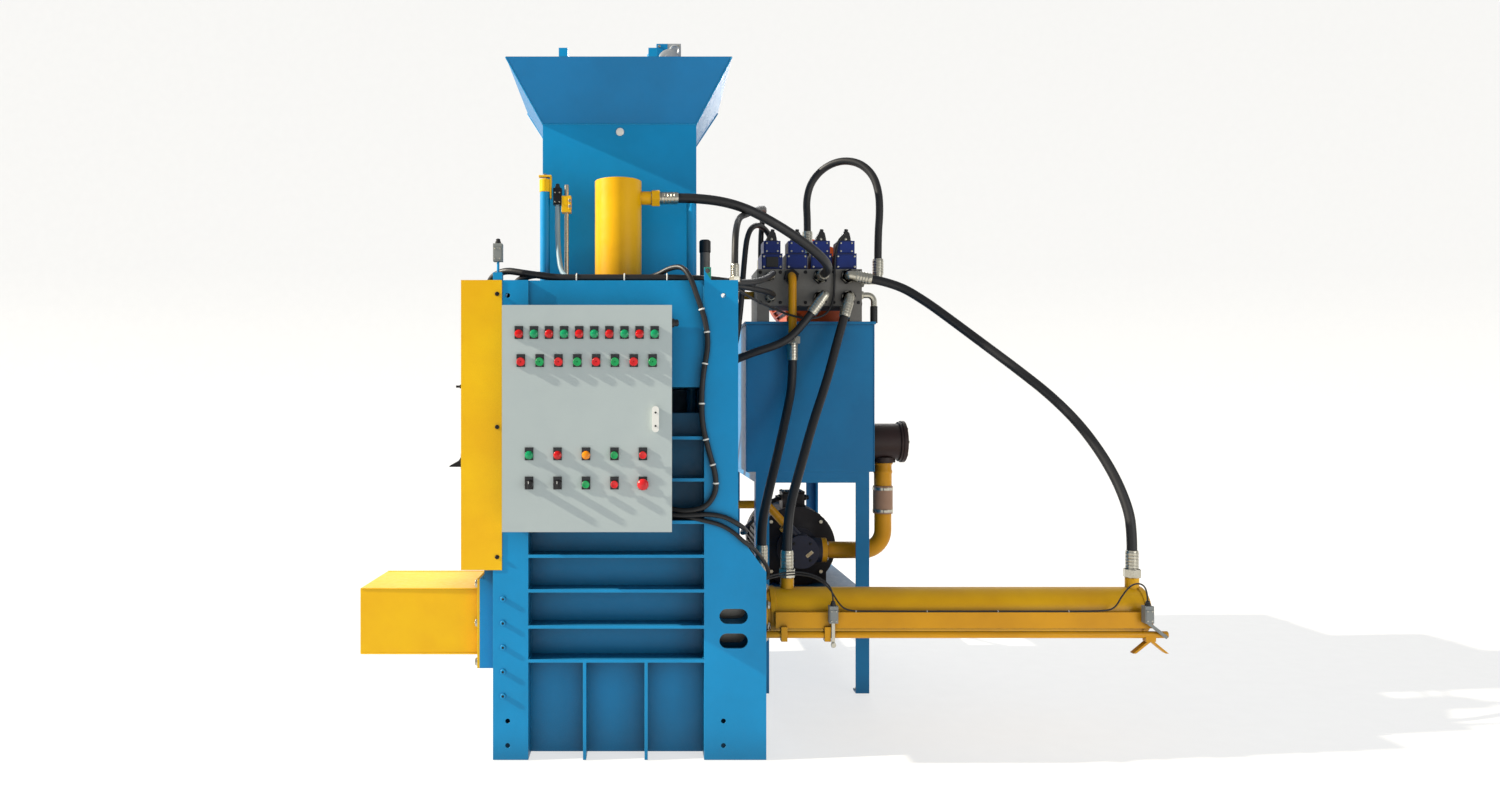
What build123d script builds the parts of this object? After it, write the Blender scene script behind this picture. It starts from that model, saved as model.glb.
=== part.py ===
from build123d import *
from math import cos, hypot, pi, radians, sin, tan
import os

# Baling press for wood shavings, in millimetres, +Z up, +Y away from the operator.
# The origin is on the floor, under the press ram and on the middle plane of the bale channel.

# Shared clearances and the length that every cut runs past its faces
overrun = 40.0
run_gap = 0.05
slide_gap = 0.5
rest_gap = 0.3

# Press chamber and the bale channel through it
chamber_length = 652.0
chamber_depth = 398.0
channel_floor = 377.0
channel_height = 238.0
wall_top = 1294.0
wall_plate = 16.0
side_plate = 16.0
bed_plate = 20.0
sole_plate = 12.0
bed_web = 14.0
bed_web_shares = (-0.9, 0.0, 0.9)

# Frame columns, ribs and head
frame_height = 1790.0
rib_depth = 95.0
rib_plate = 12.0
rib_level_shares = (0.285, 0.383, 0.487, 0.587, 0.685, 0.807, 0.928)
foot_rib_shares = (-0.36, 0.34)
column_plate = 12.0
web_setback = 2.0
gate_column_width = 132.0
eject_column_width = 127.0
foot_spread = 105.0
foot_height = 700.0
chamfer_rise = 143.0
slot_length = 106.0
slot_height = 56.0
slot_inset = 110.0
slot_level_shares = (0.28, 0.665)
frame_hole = 9.0
frame_hole_edge = 55.0
frame_hole_shares = (0.03, 0.081, 0.968)
head_bottom = 1391.0
head_plate = 20.0
head_web_share = 0.45
lifting_lug_width = 26.0
lifting_lug_height = 48.0
lifting_lug_hole = 9.0

# Large hydraulic cylinders of the press and the ejector
barrel_radius = 94.0
barrel_bore = 78.0
barrel_cap = 36.0
gland_length = 60.0
piston_length = 60.0
ram_radius = 45.0
end_gap = 6.0
port_radius = 27.0
port_height = 40.0
hole_play = 2.0

# Press ram
press_length = 815.0
press_port_level = 750.0
press_stroke = 300.0
seat_collar_radius = 124.0
seat_collar_height = 24.0
platen_height = 310.0
platen_floor = 40.0
platen_wall = 20.0
platen_pad = 56.0
guide_radius = 20.0
guide_inset = 30.0
guide_top = 2137.0
trip_collar_radius = 30.0
trip_collar_height = 34.0
trip_plate_width = 54.0
trip_plate_height = 118.0
trip_plate = 12.0

# Ejector
eject_length = 1550.0
eject_stroke = 1150.0
eject_flange_radius = 118.0
eject_flange_plate = 30.0
eject_near_port = 122.0
far_port_inset = 35.0
eject_bolt_circle = 106.0
eject_bolt_count = 8
eject_bolt_radius = 11.0
eject_bolt_length = 38.0
head_length = 200.0
head_wall = 20.0
rail_start = 60.0
rail_inset = 10.0
rail_height = 63.0
rail_plate = 8.0
rail_offset = 27.0
rail_rise = 16.0
trip_radius = 13.5
trip_drop = 72.0
trip_overhang = 46.0
hanger_places = (80.0, 250.0)
hanger_length = 24.0
hanger_width = 36.0
hanger_drop = 49.0
striker_half = 70.0
striker_drop = 58.0
striker_wall = 12.0
saddle_length = 40.0

# Limit switches
switch_width = 34.0
switch_depth = 32.0
switch_height = 66.0
near_switch = 282.0
far_switch_inset = 40.0
switch_rise = 26.0
lever_width = 12.0
lever_plate = 8.0
lever_reach = 96.0
lever_gap = 1.5
far_lever_tilt = 52.0
stand_x = 209.0
stand_radius = 8.5
stand_height = 424.0
clamp_width = 38.0
clamp_height = 67.0
clamp_level = 311.0
corner_block = 34.0
corner_block_height = 29.0
corner_post_radius = 5.0
corner_post_height = 42.0

# Gate in front of the outlet
pocket_width = 42.0
gate_thickness = 26.0
gate_lap = 14.0
gate_height = 320.0
gate_sill = 6.0
guide_bar = 34.0
guide_height = 690.0
gate_flange_plate = 17.5
gate_flange_drop = 51.0
gate_flange_rise = 50.0
bracket_plate = 20.0
bracket_half_width = 50.0
gate_ram_offset = 60.0
gate_ram_reach = 26.0
gate_mount_drop = 710.0
gate_mount_half_width = 80.0
gate_mount_plate = 20.0
gate_length = 500.0
slim_radius = 45.0
slim_bore = 36.0
slim_rod = 20.0
slim_cap = 24.0
slim_gland = 40.0
slim_piston = 40.0

# Yellow cover over the gate and the outlet tube
cover_reach = 119.0
cover_lap = 34.0
cover_sheet = 2.5
cover_bottom = 708.0
duct_plate = 6.0
duct_length = 455.0
duct_flange_plate = 9.5
duct_bolt_radius = 11.0
duct_bolt_length = 18.0
duct_bolt_shares = (0.06, 0.5, 0.94)
column_screw_edge = 38.0
column_screw_radius = 10.0
column_screw_height = 6.0
column_screw_count = 5
column_screw_pitch = 90.5
column_screw_low = 239.0

# Feed chute, its pusher and the hopper
chute_plate = 6.0
chute_width = 654.0
chute_depth = 507.0
chute_floor_plate = 12.0
chute_top = 2522.0
feed_height = 533.0
housing_length = 510.0
housing_plate = 16.0
chute_leg = 60.0
chute_leg_inset = 40.0
foot_pad = 110.0
foot_pad_plate = 10.0
pusher_length = 500.0
pusher_wall = 16.0
pusher_setback = 32.0
feed_length = 660.0
feed_barrel = 62.0
feed_bore = 50.0
feed_rod = 28.0
feed_flange_radius = 92.0
feed_port_places = (70.0, 600.0)
feed_port_height = 34.0
hopper_top = 2760.0
hopper_width = 932.0
hopper_depth = 787.0
hopper_sheet = 6.0

# Agitator across the hopper mouth
bar_size = 36.0
bar_places = (-229.0, 140.0)
agitator_y = 340.0
agitator_level = 2715.0
hanger_plate = 14.0
hanger_half = 45.0
hanger_reach = 100.0
shaft_radius = 15.0
shaft_overhang = 26.0
shaft_entry = 90.0
arm_radius = 9.0
arm_reach = 140.0
arm_places = (-180.0, -95.0, 10.0, 95.0)
paddle_length = 56.0
paddle_width = 50.0
paddle_plate = 8.0
gearbox_width = 106.0
gearbox_half = 56.0
gearbox_drop = 62.0
gearbox_height = 236.0
gearmotor_radius = 50.0
gearmotor_length = 240.0
gearmotor_rise = 105.0

# Control box on the front of the frame
box_left = -398.0
box_bottom = 874.0
box_width = 600.0
box_height = 802.0
box_depth = 180.0
box_sheet = 2.0
door_depth = 20.0
door_gap = 0.5
bezel_width = 30.0
bezel_drop = 18.0
bezel_rise = 27.0
bezel_plate = 5.0
cap_radius = 13.0
cap_height = 9.0
lamp_height = 11.0
stem_radius = 8.0
stem_length = 22.0
press_travel = 5.0
stop_radius = 20.0
stop_height = 16.0
stop_travel = 6.0
knob_radius = 14.0
knob_height = 16.0
handle_x = 144.0
handle_low = 1227.0
handle_height = 92.0
handle_width = 24.0
handle_depth = 18.0
spindle_radius = 7.0
lamp_row_level = 1574.0
lamp_row_start = -338.0
lamp_pitch = 53.2
lamp_count = 10
jog_row_level = 1475.0
jog_row_start = -331.0
jog_pitch = 66.4
jog_count = 8
upper_row_level = 1146.0
lower_row_level = 1043.0
main_row_start = -302.0
main_pitch = 100.4
main_count = 5
gear_margin = 30.0
gear_plate = 3.0
gear_rail_height = 35.0
gear_rail_depth = 8.0
gear_unit_width = 54.0
gear_unit_height = 88.0
gear_unit_depth = 84.0
gear_row_shares = (0.2, 0.5, 0.8)
gear_unit_count = 6

# Oil tank on its stand
tank_left = 577.0
tank_front = 565.0
tank_bottom = 1020.0
tank_width = 586.0
tank_length = 1450.0
tank_height = 692.0
lid_plate = 12.0
lid_overhang = 8.0
leg_width = 62.0
leg_plate = 8.0
leg_inset = 42.0
stand_rail = 50.0
shelf_level = 452.0
shelf_plate = 10.0

# Motors, pumps, filter and suction line
motor_x = 845.0
motor_level = 640.0
motor_radius = 185.0
motor_start = 275.0
motor_length = 500.0
motor_foot = 60.0
motor_boss_radius = 95.0
motor_boss_length = 50.0
motor_foot_share = 0.7
upper_foot_share = 0.6
terminal_width = 110.0
terminal_rise = 70.0
pump_radius = 78.0
pump_length = 150.0
pump_flange = 14.0
pump_flange_radius = 100.0
suction_radius = 40.0
suction_flange = 58.0
suction_flange_plate = 24.0
suction_x = 1240.0
suction_bend = 95.0
filter_radius = 86.0
filter_length = 175.0
filter_level = 1155.0
filter_cover = 98.0
filter_cover_plate = 16.0
sleeve_radius = 46.0
sleeve_bottom = 815.0
sleeve_top = 945.0
upper_motor_x = 975.0
upper_motor_radius = 198.0
upper_motor_rise = 213.0
upper_motor_start = 395.0
upper_motor_length = 420.0
upper_pump_radius = 90.0
outlet_offset = 70.0
outlet_rise = 145.0
outlet_radius = 26.0

# Valve manifold on the tank lid
manifold_left = 625.0
manifold_width = 483.0
manifold_depth = 240.0
manifold_rise = 74.0
manifold_height = 168.0
support_width = 56.0
valve_count = 4
valve_pitch = 114.0
valve_width = 96.0
valve_depth = 140.0
valve_setback = 10.0
valve_base_height = 72.0
pilot_width = 78.0
pilot_height = 60.0
pilot_depth = 110.0

# Hose ends: nut, ferrule and elbow
nut_radius = 30.0
nut_length = 34.0
ferrule_radius = 24.0
ferrule_length = 74.0
elbow_radius = 21.0
elbow_reach = 58.0
elbow_rise = 25.0
long_reach = 102.0
short_reach = 37.0
feed_reach = 118.0
hose_radius = 20.0
loop_radius = 18.0
upper_port_share = 0.79
lower_port_share = 0.2
port_place_shares = (0.12, 0.32, 0.6, 0.86)
pipe_radius = 19.0
pipe_low = 1640.0
pipe_bend = 36.0
bend_share = 0.45
pump_port_side = 22.0
pump_port_lift = 15.0
pump_port_shares = (-0.66, 0.0, 0.75)
pump_port_length = 125.0
pump_port_radius = 30.0
pump_pipe_level = 856.0
pump_pipe_gap = 57.0
pump_pipe_share = 0.38
pump_pipe_flange = 36.0
pump_pipe_plate = 14.0
bundle_radius = 13.0
cable_gap = 1.0
cable_low = 945.0
cap_run_shares = (0.142, 0.278, 0.416, 0.561, 0.711, 0.838, 0.94, 0.992)
cap_run_sides = ((440, 1795), (385, 1695), (325, 1590), (260, 1480), (195, 1360), (130, 1225), (65, 1060),
                 (12, 905))
upper_line_points = ((665, 335, 108), (620, 205, 72), (560, 75, 42), (490, -55, 22), (430, -155, 15),
                     (355, -228, 14), (250, -266, 13.4), (40, -272, 13.4), (-230, -270, 14),
                     (-345, -258, 32), (-425, -228, 48), (-485, -185, 28), (-514, -140, -35))
lower_line_points = ((655, 330, 28), (595, 195, 24), (525, 60, 19), (450, -60, 15), (390, -150, 14),
                     (315, -210, 14), (215, -238, 13.4), (20, -243, 13.4), (-215, -243, 15),
                     (-315, -241, 32), (-385, -238, 5), (-410, -236, -68))
cable_top_points = ((-241, -6, 150), (-228, -45, 70), (-185, -125, 22), (-90, -190, 10.4), (60, -204, 10.4),
                    (145, -218, 26), (205, -256, 54), (248, -300, 52), (278, -324, 5))
cable_drop_xs = (304, 332, 343, 318, 319, 349, 370, 372)
cable_drop_shares = (0.917, 0.822, 0.716, 0.544, 0.364, 0.228, 0.142, 0.065)
cable_end_points = ((336, -328, 945), (268, -306, 926), (190, -274, 934), (100, -260, 945))
cable_radius = 10.0
slim_share = 0.65
way_shares = ((0.97, -0.1, -0.2), (-0.3, -0.2, -0.93), (-0.6, 0.0, -0.8))
lead = 110.0
slim_lead = 64.0
gate_port_places = (60.0, 440.0)
gate_port_height = 24.0
line_bulkhead_y = -236.0
bulkhead_y = 150.0
bulkhead_z = 640.0
gate_hose_y = -240.0
rear_port_places = (40.0, 95.0)
rear_port_setback = 40.0

# Places that follow from the sizes above
half_x = chamber_length / 2
half_y = chamber_depth / 2
wall_y = half_y + wall_plate
front_y = -(wall_y + rib_depth)
flange_y = -front_y - column_plate
column_x = half_x + web_setback
left_x = -(column_x + gate_column_width)
right_x = column_x + eject_column_width
foot_x = right_x + foot_spread
channel_top = channel_floor + channel_height
channel_mid = channel_floor + channel_height / 2
chamfer_step = column_plate * (hypot(foot_spread, chamfer_rise) - chamfer_rise) / foot_spread
foot_in_x = foot_x - column_plate
right_in_x = right_x - column_plate
left_in_x = left_x + column_plate
chamfer_low = foot_height - chamfer_step
chamfer_top = foot_height + chamfer_rise - chamfer_step
rib_levels = [share * wall_top for share in rib_level_shares]
head_front = -flange_y
press_seat = head_bottom + head_plate
platen_low = channel_top + hole_play + press_stroke
guide_x = half_x - guide_inset
eject_far = foot_x + eject_length
eject_far_port = eject_length - far_port_inset
rail_end = eject_length - rail_inset
trip_end = eject_length + trip_overhang
rail_y = -(barrel_radius + rail_offset)
rail_top = channel_mid + rail_rise
rail_low = rail_top - rail_height
trip_y = rail_y + rail_plate / 2
trip_z = channel_mid - trip_drop
pocket_x = left_x - pocket_width
gate_flange_x = pocket_x - gate_flange_plate
gate_half = half_y + gate_lap
gate_x = left_x - (pocket_width - gate_thickness) / 2
gate_low = channel_floor - gate_sill + rest_gap
gate_ram_x = left_x - gate_ram_offset
gate_mount_level = frame_height - gate_mount_drop
flange_half = gate_half + slide_gap + guide_bar
flange_low = channel_floor - gate_flange_drop
flange_top = channel_top + gate_flange_rise
cover_x = left_x - cover_reach
cover_y = -front_y
duct_x = gate_flange_x - duct_flange_plate
chute_x = chute_width / 2
chute_in_x = chute_x - chute_plate
chute_back = wall_y + chute_depth
chute_low = channel_floor - chute_floor_plate
feed_top = channel_floor + feed_height
housing_back = chute_back + housing_length
feed_mount = housing_back + housing_plate
feed_axis = channel_floor + feed_height / 2
pusher_front = chute_back - pusher_setback
hopper_mid = wall_y + chute_depth / 2
box_right = box_left + box_width
box_top = box_bottom + box_height
box_front = front_y - box_depth
door_front = box_front - door_depth
bezel_front = door_front - bezel_plate
tank_right = tank_left + tank_width
tank_back = tank_front + tank_length
tank_top = tank_bottom + tank_height
motor_y = tank_front + motor_start
pump_y = motor_y - pump_length
filter_y = pump_y + pump_length / 2
manifold_low = tank_top + manifold_rise
manifold_top = manifold_low + manifold_height
manifold_back = tank_front + manifold_depth
manifold_right = manifold_left + manifold_width
upper_motor_y = tank_front + upper_motor_start
upper_axis = tank_top + upper_motor_rise
upper_port_z = manifold_low + upper_port_share * manifold_height
lower_port_z = manifold_low + lower_port_share * manifold_height
port_xs = [manifold_left + share * manifold_width for share in port_place_shares]
rear_port_xs = [manifold_left + place for place in rear_port_places]
rear_port_y = manifold_back - rear_port_setback
lamp_spots = [(lamp_row_start + lamp_pitch * k, lamp_row_level) for k in range(lamp_count)]
jog_spots = [(jog_row_start + jog_pitch * k, jog_row_level) for k in range(jog_count)]
upper_spots = [(main_row_start + main_pitch * k, upper_row_level) for k in range(main_count)]
lower_spots = [(main_row_start + main_pitch * k, lower_row_level) for k in range(main_count)]


# Small building functions
def block(x, y, z):
    """Box between two places on each axis."""
    size = (x[1] - x[0], y[1] - y[0], z[1] - z[0])
    middle = Pos((x[0] + x[1]) / 2, (y[0] + y[1]) / 2, (z[0] + z[1]) / 2)
    return middle * Box(*size)


def mirror_y(part):
    """The same piece on the other side of the middle plane."""
    return part.mirror(Plane.XZ)


def rod_x(radius, x, y, z):
    """Round bar along X between two places."""
    return Pos((x[0] + x[1]) / 2, y, z) * Rot(0, 90, 0) * Cylinder(radius, x[1] - x[0])


def rod_y(radius, x, y, z):
    """Round bar along Y between two places."""
    return Pos(x, (y[0] + y[1]) / 2, z) * Rot(90, 0, 0) * Cylinder(radius, y[1] - y[0])


def rod_z(radius, x, y, z):
    """Round bar along Z between two places."""
    return Pos(x, y, (z[0] + z[1]) / 2) * Cylinder(radius, z[1] - z[0])


def slab_xz(points, y):
    """Plate with an outline in X and Z, between two places on Y."""
    outline = Polyline(*[(px, y[1], pz) for px, pz in points], close=True)
    return extrude(make_face(outline), amount=y[1] - y[0], dir=(0, -1, 0))


def barrel(length, outer, bore, rod, cap, gland):
    """Cylinder barrel up +Z from its mounting face: gland with the rod's bore, then the piston's bore."""
    body = rod_z(outer, 0, 0, (0, length))
    body -= rod_z(bore, 0, 0, (gland, length - cap))
    return body - rod_z(rod + run_gap, 0, 0, (-overrun, gland + overrun))


def piston(bore, rod, reach, start, length):
    """Piston from start on, and its rod down to reach below the mounting face."""
    return rod_z(bore - run_gap, 0, 0, (start, start + length)) + rod_z(rod, 0, 0, (-reach, start))


def save(name, *solids):
    """One file for one node, each piece in it a solid of its own."""
    pieces = [solid for piece in solids for solid in piece.solids()]
    shape = pieces[0] if len(pieces) == 1 else Compound(children=pieces)
    export_step(shape, f"parts/{name}.step")


def cord(name, points, radius):
    """Hose of straight runs joined by tangent arcs; a radius is a share of the shorter run / tan(turn/2)."""
    places = [Vector(*point) for point in points]
    radii = []
    for before, here, after in zip(places, places[1:], places[2:]):
        turn = radians((here - before).get_angle(after - here))
        radii.append(bend_share * min((here - before).length, (after - here).length) / tan(turn / 2))
    path = FilletPolyline(*places, radius=radii)
    tube = sweep(Plane(places[0], z_dir=places[1] - places[0]) * Circle(radius), path=path)
    print(name, "length", round(path.length), "radii", [round(value) for value in radii],
          "fill", round(tube.volume / (pi * radius * radius * path.length), 3))
    return tube


def along(start, direction, distance):
    """Place at a distance from another along one axis direction."""
    return tuple(a + b * distance for a, b in zip(start, direction))


def stub(radius, start, end):
    """Round bar between two places, in any direction."""
    run = Vector(*end) - Vector(*start)
    return extrude(Plane(start, z_dir=run) * Circle(radius), amount=run.length)


def hose_end(start, direction, slim=1.0):
    """Nut and ferrule from a port's face on; gives the piece and the place where the hose begins."""
    shoulder = along(start, direction, nut_length * slim)
    tip = along(shoulder, direction, ferrule_length * slim)
    piece = stub(nut_radius * slim, start, shoulder)
    ends.append(piece + stub(ferrule_radius * slim, shoulder, tip))
    return tip


def elbow_end(face, out, turn, reach, slim=1.0):
    """Elbow out of a face, turned once, with a ferrule; gives the place where the hose begins."""
    turn = tuple(Vector(*turn).normalized())
    corner = along(face, out, reach)
    bend = along(corner, turn, elbow_rise * slim)
    tip = along(bend, turn, ferrule_length * slim)
    piece = stub(nut_radius * slim, face, along(face, out, nut_length * slim)) + stub(elbow_radius * slim,
                                                                                      face, corner)
    piece += Pos(*corner) * Sphere(elbow_radius * slim)
    ends.append(piece + stub(elbow_radius * slim, corner, bend) + stub(ferrule_radius * slim, bend, tip))
    return tip


os.makedirs("parts", exist_ok=True)

# Gate-side column with the guides and the flange of the gate
flange = block((left_x, -column_x), (front_y, -flange_y), (0, frame_height))
for share in frame_hole_shares:
    flange -= rod_y(frame_hole, left_x + frame_hole_edge, (front_y - overrun, -flange_y + overrun),
                    share * frame_height)
web = block((-column_x - column_plate, -column_x), (-flange_y, -wall_y), (0, frame_height))
channel = block((gate_flange_x - overrun, left_in_x + overrun), (-half_y, half_y),
                (channel_floor, channel_top))
end = block((left_x, left_in_x), (-flange_y, flange_y), (0, frame_height))
guide = block((pocket_x, left_x), (-flange_half, -gate_half - slide_gap),
              (flange_low, flange_low + guide_height))
sill = block((pocket_x, left_x), (-flange_half, flange_half), (flange_low, channel_floor - gate_sill))
plate = block((gate_flange_x, pocket_x), (-flange_half, flange_half), (flange_low, flange_top))
left_column = flange + mirror_y(flange) + web + mirror_y(web) + end + guide + mirror_y(guide) + sill + plate
save("left_column", left_column - channel)

# Eject-side column with its spread foot and the two slots
profile = [(column_x, 0), (foot_x, 0), (foot_x, foot_height), (right_x, foot_height + chamfer_rise),
           (right_x, frame_height), (column_x, frame_height)]
skin = [(foot_x, 0), (foot_x, foot_height), (right_x, foot_height + chamfer_rise), (right_x, frame_height),
        (right_in_x, frame_height), (right_in_x, chamfer_top), (foot_in_x, chamfer_low), (foot_in_x, 0)]
flange = slab_xz(profile, (front_y, -flange_y))
back = slab_xz(profile, (flange_y, -front_y))
slot_cuts = []
for share in slot_level_shares:
    place = Pos(column_x + slot_inset, front_y - overrun, channel_floor + share * channel_height) * Rot(90,
                                                                                                        0, 0)
    slot_cuts.append(extrude(place * SlotOverall(slot_length, slot_height),
                             amount=-(rib_depth + overrun * 2 + wall_plate)))
for cut in slot_cuts:
    flange -= cut
for share in frame_hole_shares:
    flange -= rod_y(frame_hole, right_x - frame_hole_edge, (front_y - overrun, -flange_y + overrun),
                    share * frame_height)
shell = slab_xz(skin, (-flange_y, flange_y))
shell -= rod_x(ram_radius + hole_play, (foot_in_x - overrun, foot_x + overrun), 0, channel_mid)
shell -= rod_x(trip_radius + hole_play, (foot_in_x - overrun, foot_x + overrun), trip_y, trip_z)
web = block((column_x, column_x + column_plate), (-flange_y, -wall_y), (0, frame_height))
lug = block((column_x, column_x + lifting_lug_width), (front_y, -flange_y),
            (frame_height, frame_height + lifting_lug_height))
lug -= rod_y(lifting_lug_hole, column_x + lifting_lug_width / 2, (front_y - overrun, -flange_y + overrun),
             frame_height + lifting_lug_height - lifting_lug_width / 2)
save("right_column", flange + back + shell + web + mirror_y(web) + lug)

# Ribbed chamber walls
sheet = [(left_in_x, 0), (foot_in_x, 0), (foot_in_x, chamfer_low), (right_in_x, chamfer_top),
         (right_in_x, wall_top), (left_in_x, wall_top)]
front_wall = slab_xz(sheet, (-wall_y, -half_y))
for cut in slot_cuts:
    front_wall -= cut
rear_wall = slab_xz(sheet, (half_y, wall_y))
rear_wall -= block((-chute_in_x, chute_in_x), (half_y - overrun, wall_y + overrun),
                   (channel_floor, feed_top))
for level in rib_levels:
    front_wall += block((-column_x, column_x), (front_y, -wall_y),
                        (level - rib_plate / 2, level + rib_plate / 2))
for share in foot_rib_shares:
    middle = share * column_x
    foot_rib = block((middle - rib_plate / 2, middle + rib_plate / 2), (front_y, -wall_y),
                     (0, rib_levels[0]))
    front_wall += foot_rib
    rear_wall += block((middle - rib_plate / 2, middle + rib_plate / 2), (wall_y, -front_y), (0, chute_low))
save("front_wall", front_wall)
save("rear_wall", rear_wall)

# Chamber bed on its sole plate, and the two side walls with the channel's ceiling
bed = block((left_in_x, foot_in_x), (-half_y, half_y), (channel_floor - bed_plate, channel_floor))
bed += block((left_in_x, foot_in_x), (-half_y, half_y), (0, sole_plate))
for share in bed_web_shares:
    bed += block((share * half_x - bed_web / 2, share * half_x + bed_web / 2), (-half_y, half_y),
                 (0, channel_floor - bed_plate))
ceiling = (channel_top, channel_top + side_plate)
left_side = block((left_in_x, -half_x), (-half_y, half_y), ceiling)
left_side += block((-half_x - side_plate, -half_x), (-half_y, half_y), (channel_top, wall_top))
right_side = block((half_x, foot_in_x), (-half_y, half_y), ceiling)
right_side += block((half_x, half_x + side_plate), (-half_y, half_y), (channel_top, wall_top))
save("chamber_liner", bed, left_side, right_side)

# Head box with the bores of the press cylinder and of the guide rods
head = block((-column_x, column_x), (head_front, wall_y), (head_bottom, frame_height))
inside_y = (head_front + column_plate, wall_y - column_plate)
inside_z = (press_seat, frame_height - head_plate)
bays = (-column_x + column_plate, -head_web_share * column_x), (-head_web_share * column_x + column_plate,
        head_web_share * column_x - column_plate), (head_web_share * column_x, column_x - column_plate)
for bay in bays:
    head -= block(bay, inside_y, inside_z)
head -= rod_z(barrel_radius + rest_gap, 0, 0, (press_seat, frame_height + overrun))
head -= rod_z(ram_radius + hole_play, 0, 0, (head_bottom - overrun, press_seat + overrun))
for side in (-1, 1):
    head -= rod_z(guide_radius + run_gap, side * guide_x, 0,
                  (head_bottom - overrun, frame_height + overrun))
save("head_box", head)

# Press cylinder, its ram, guide rods and platen
press = Pos(0, 0, press_seat) * barrel(press_length, barrel_radius, barrel_bore, ram_radius, barrel_cap,
                                       gland_length)
press += rod_z(seat_collar_radius, 0, 0, (frame_height, frame_height + seat_collar_height)) - rod_z(
    barrel_bore + rest_gap, 0, 0, (frame_height - overrun, frame_height + seat_collar_height + overrun))
port_base = (barrel_radius + barrel_bore) / 2
press += rod_x(port_radius, (port_base, barrel_radius + port_height), 0, press_seat + press_port_level)
save("press_cylinder", press)

platen_top = platen_low + platen_height
platen_x = half_x - slide_gap
platen_y = half_y - slide_gap
platen = block((-platen_x, platen_x), (-platen_y, platen_y), (platen_low, platen_top))
platen -= block((-platen_x + platen_pad, platen_x - platen_pad),
                (-platen_y + platen_wall, platen_y - platen_wall),
                (platen_low + platen_floor, platen_top + overrun))
save("press_platen", platen)

press_reach = press_seat - platen_low - platen_floor
press_start = press_length - barrel_cap - end_gap - piston_length
ram = Pos(0, 0, press_seat) * piston(barrel_bore, ram_radius, press_reach, press_start, piston_length)
left_guide = rod_z(guide_radius, -guide_x, 0, (platen_top, guide_top))
left_guide += rod_z(trip_collar_radius, -guide_x, 0, (guide_top - trip_collar_height, guide_top))
left_guide += block((-guide_x - trip_plate_width / 2, -guide_x + trip_plate_width / 2),
                    (-trip_plate / 2, trip_plate / 2),
                    (guide_top - trip_collar_height / 2, guide_top + trip_plate_height))
right_guide = rod_z(guide_radius, guide_x, 0, (platen_top, guide_top))
save("ram_rods", ram, left_guide, right_guide)

# Ejector cylinder with its flange and ports
eject_place = Pos(foot_x, 0, channel_mid) * Rot(0, 90, 0)
tube = barrel(eject_length, barrel_radius, barrel_bore, ram_radius, barrel_cap, gland_length)
tube += rod_z(eject_flange_radius, 0, 0, (0, eject_flange_plate)) - rod_z(barrel_bore, 0, 0,
                                                                          (-overrun, overrun * 2))
ejector = eject_place * tube
for place in (eject_near_port, eject_far_port):
    ejector += rod_z(port_radius, foot_x + place, 0,
                     (channel_mid + port_base, channel_mid + barrel_radius + port_height))
save("ejector_cylinder", ejector)

push_x = (half_x + slide_gap, half_x + slide_gap + head_length)
push_z = (channel_floor + slide_gap, channel_top - slide_gap)
push_head = block(push_x, (-platen_y, platen_y), push_z)
push_head -= block((push_x[0] + head_wall, push_x[1] + overrun),
                   (-platen_y + head_wall, platen_y - head_wall),
                   (push_z[0] + head_wall, push_z[1] - head_wall))
eject_reach = foot_x - push_x[0] - head_wall
eject_start = eject_length - barrel_cap - end_gap - piston_length
push_head += eject_place * piston(barrel_bore, ram_radius, eject_reach, eject_start, piston_length)
save("ejector_ram", push_head)

# Trip rod along the ejector with its roof-shaped striker
striker_x = foot_x + trip_end - striker_half
trip = rod_x(trip_radius, (push_x[0] + head_wall, foot_x + trip_end), trip_y, trip_z)
roof_top = trip_z - trip_radius
roof_low = roof_top - striker_drop
trip += block((striker_x - saddle_length / 2, striker_x + saddle_length / 2),
              (trip_y - trip_radius, trip_y + trip_radius),
              (roof_top - striker_wall, trip_z))
roof = [(striker_x - striker_half, roof_low), (striker_x, roof_top), (striker_x + striker_half, roof_low),
        (striker_x + striker_half - striker_wall, roof_low), (striker_x, roof_top - striker_wall),
        (striker_x - striker_half + striker_wall, roof_low)]
trip += slab_xz(roof, (trip_y - trip_radius, trip_y + trip_radius))
save("trip_rod", trip)

# Angle rail that carries the switches and guides the trip rod
rail = block((foot_x + rail_start, foot_x + rail_end), (rail_y, rail_y + rail_plate), (rail_low, rail_top))
rail += block((foot_x + rail_start, foot_x + rail_end), (rail_y, -barrel_bore),
              (rail_top - rail_plate, rail_top))
rail -= rod_x(barrel_radius + rest_gap, (foot_x, eject_far + overrun), 0, channel_mid)
for place in hanger_places:
    rail += block((foot_x + place, foot_x + place + hanger_length),
                  (trip_y - hanger_width / 2, trip_y + hanger_width / 2),
                  (rail_low - hanger_drop, rail_low + rail_plate))
rail -= rod_x(trip_radius + run_gap, (foot_x, eject_far), trip_y, trip_z)
save("switch_rail", rail)

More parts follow.
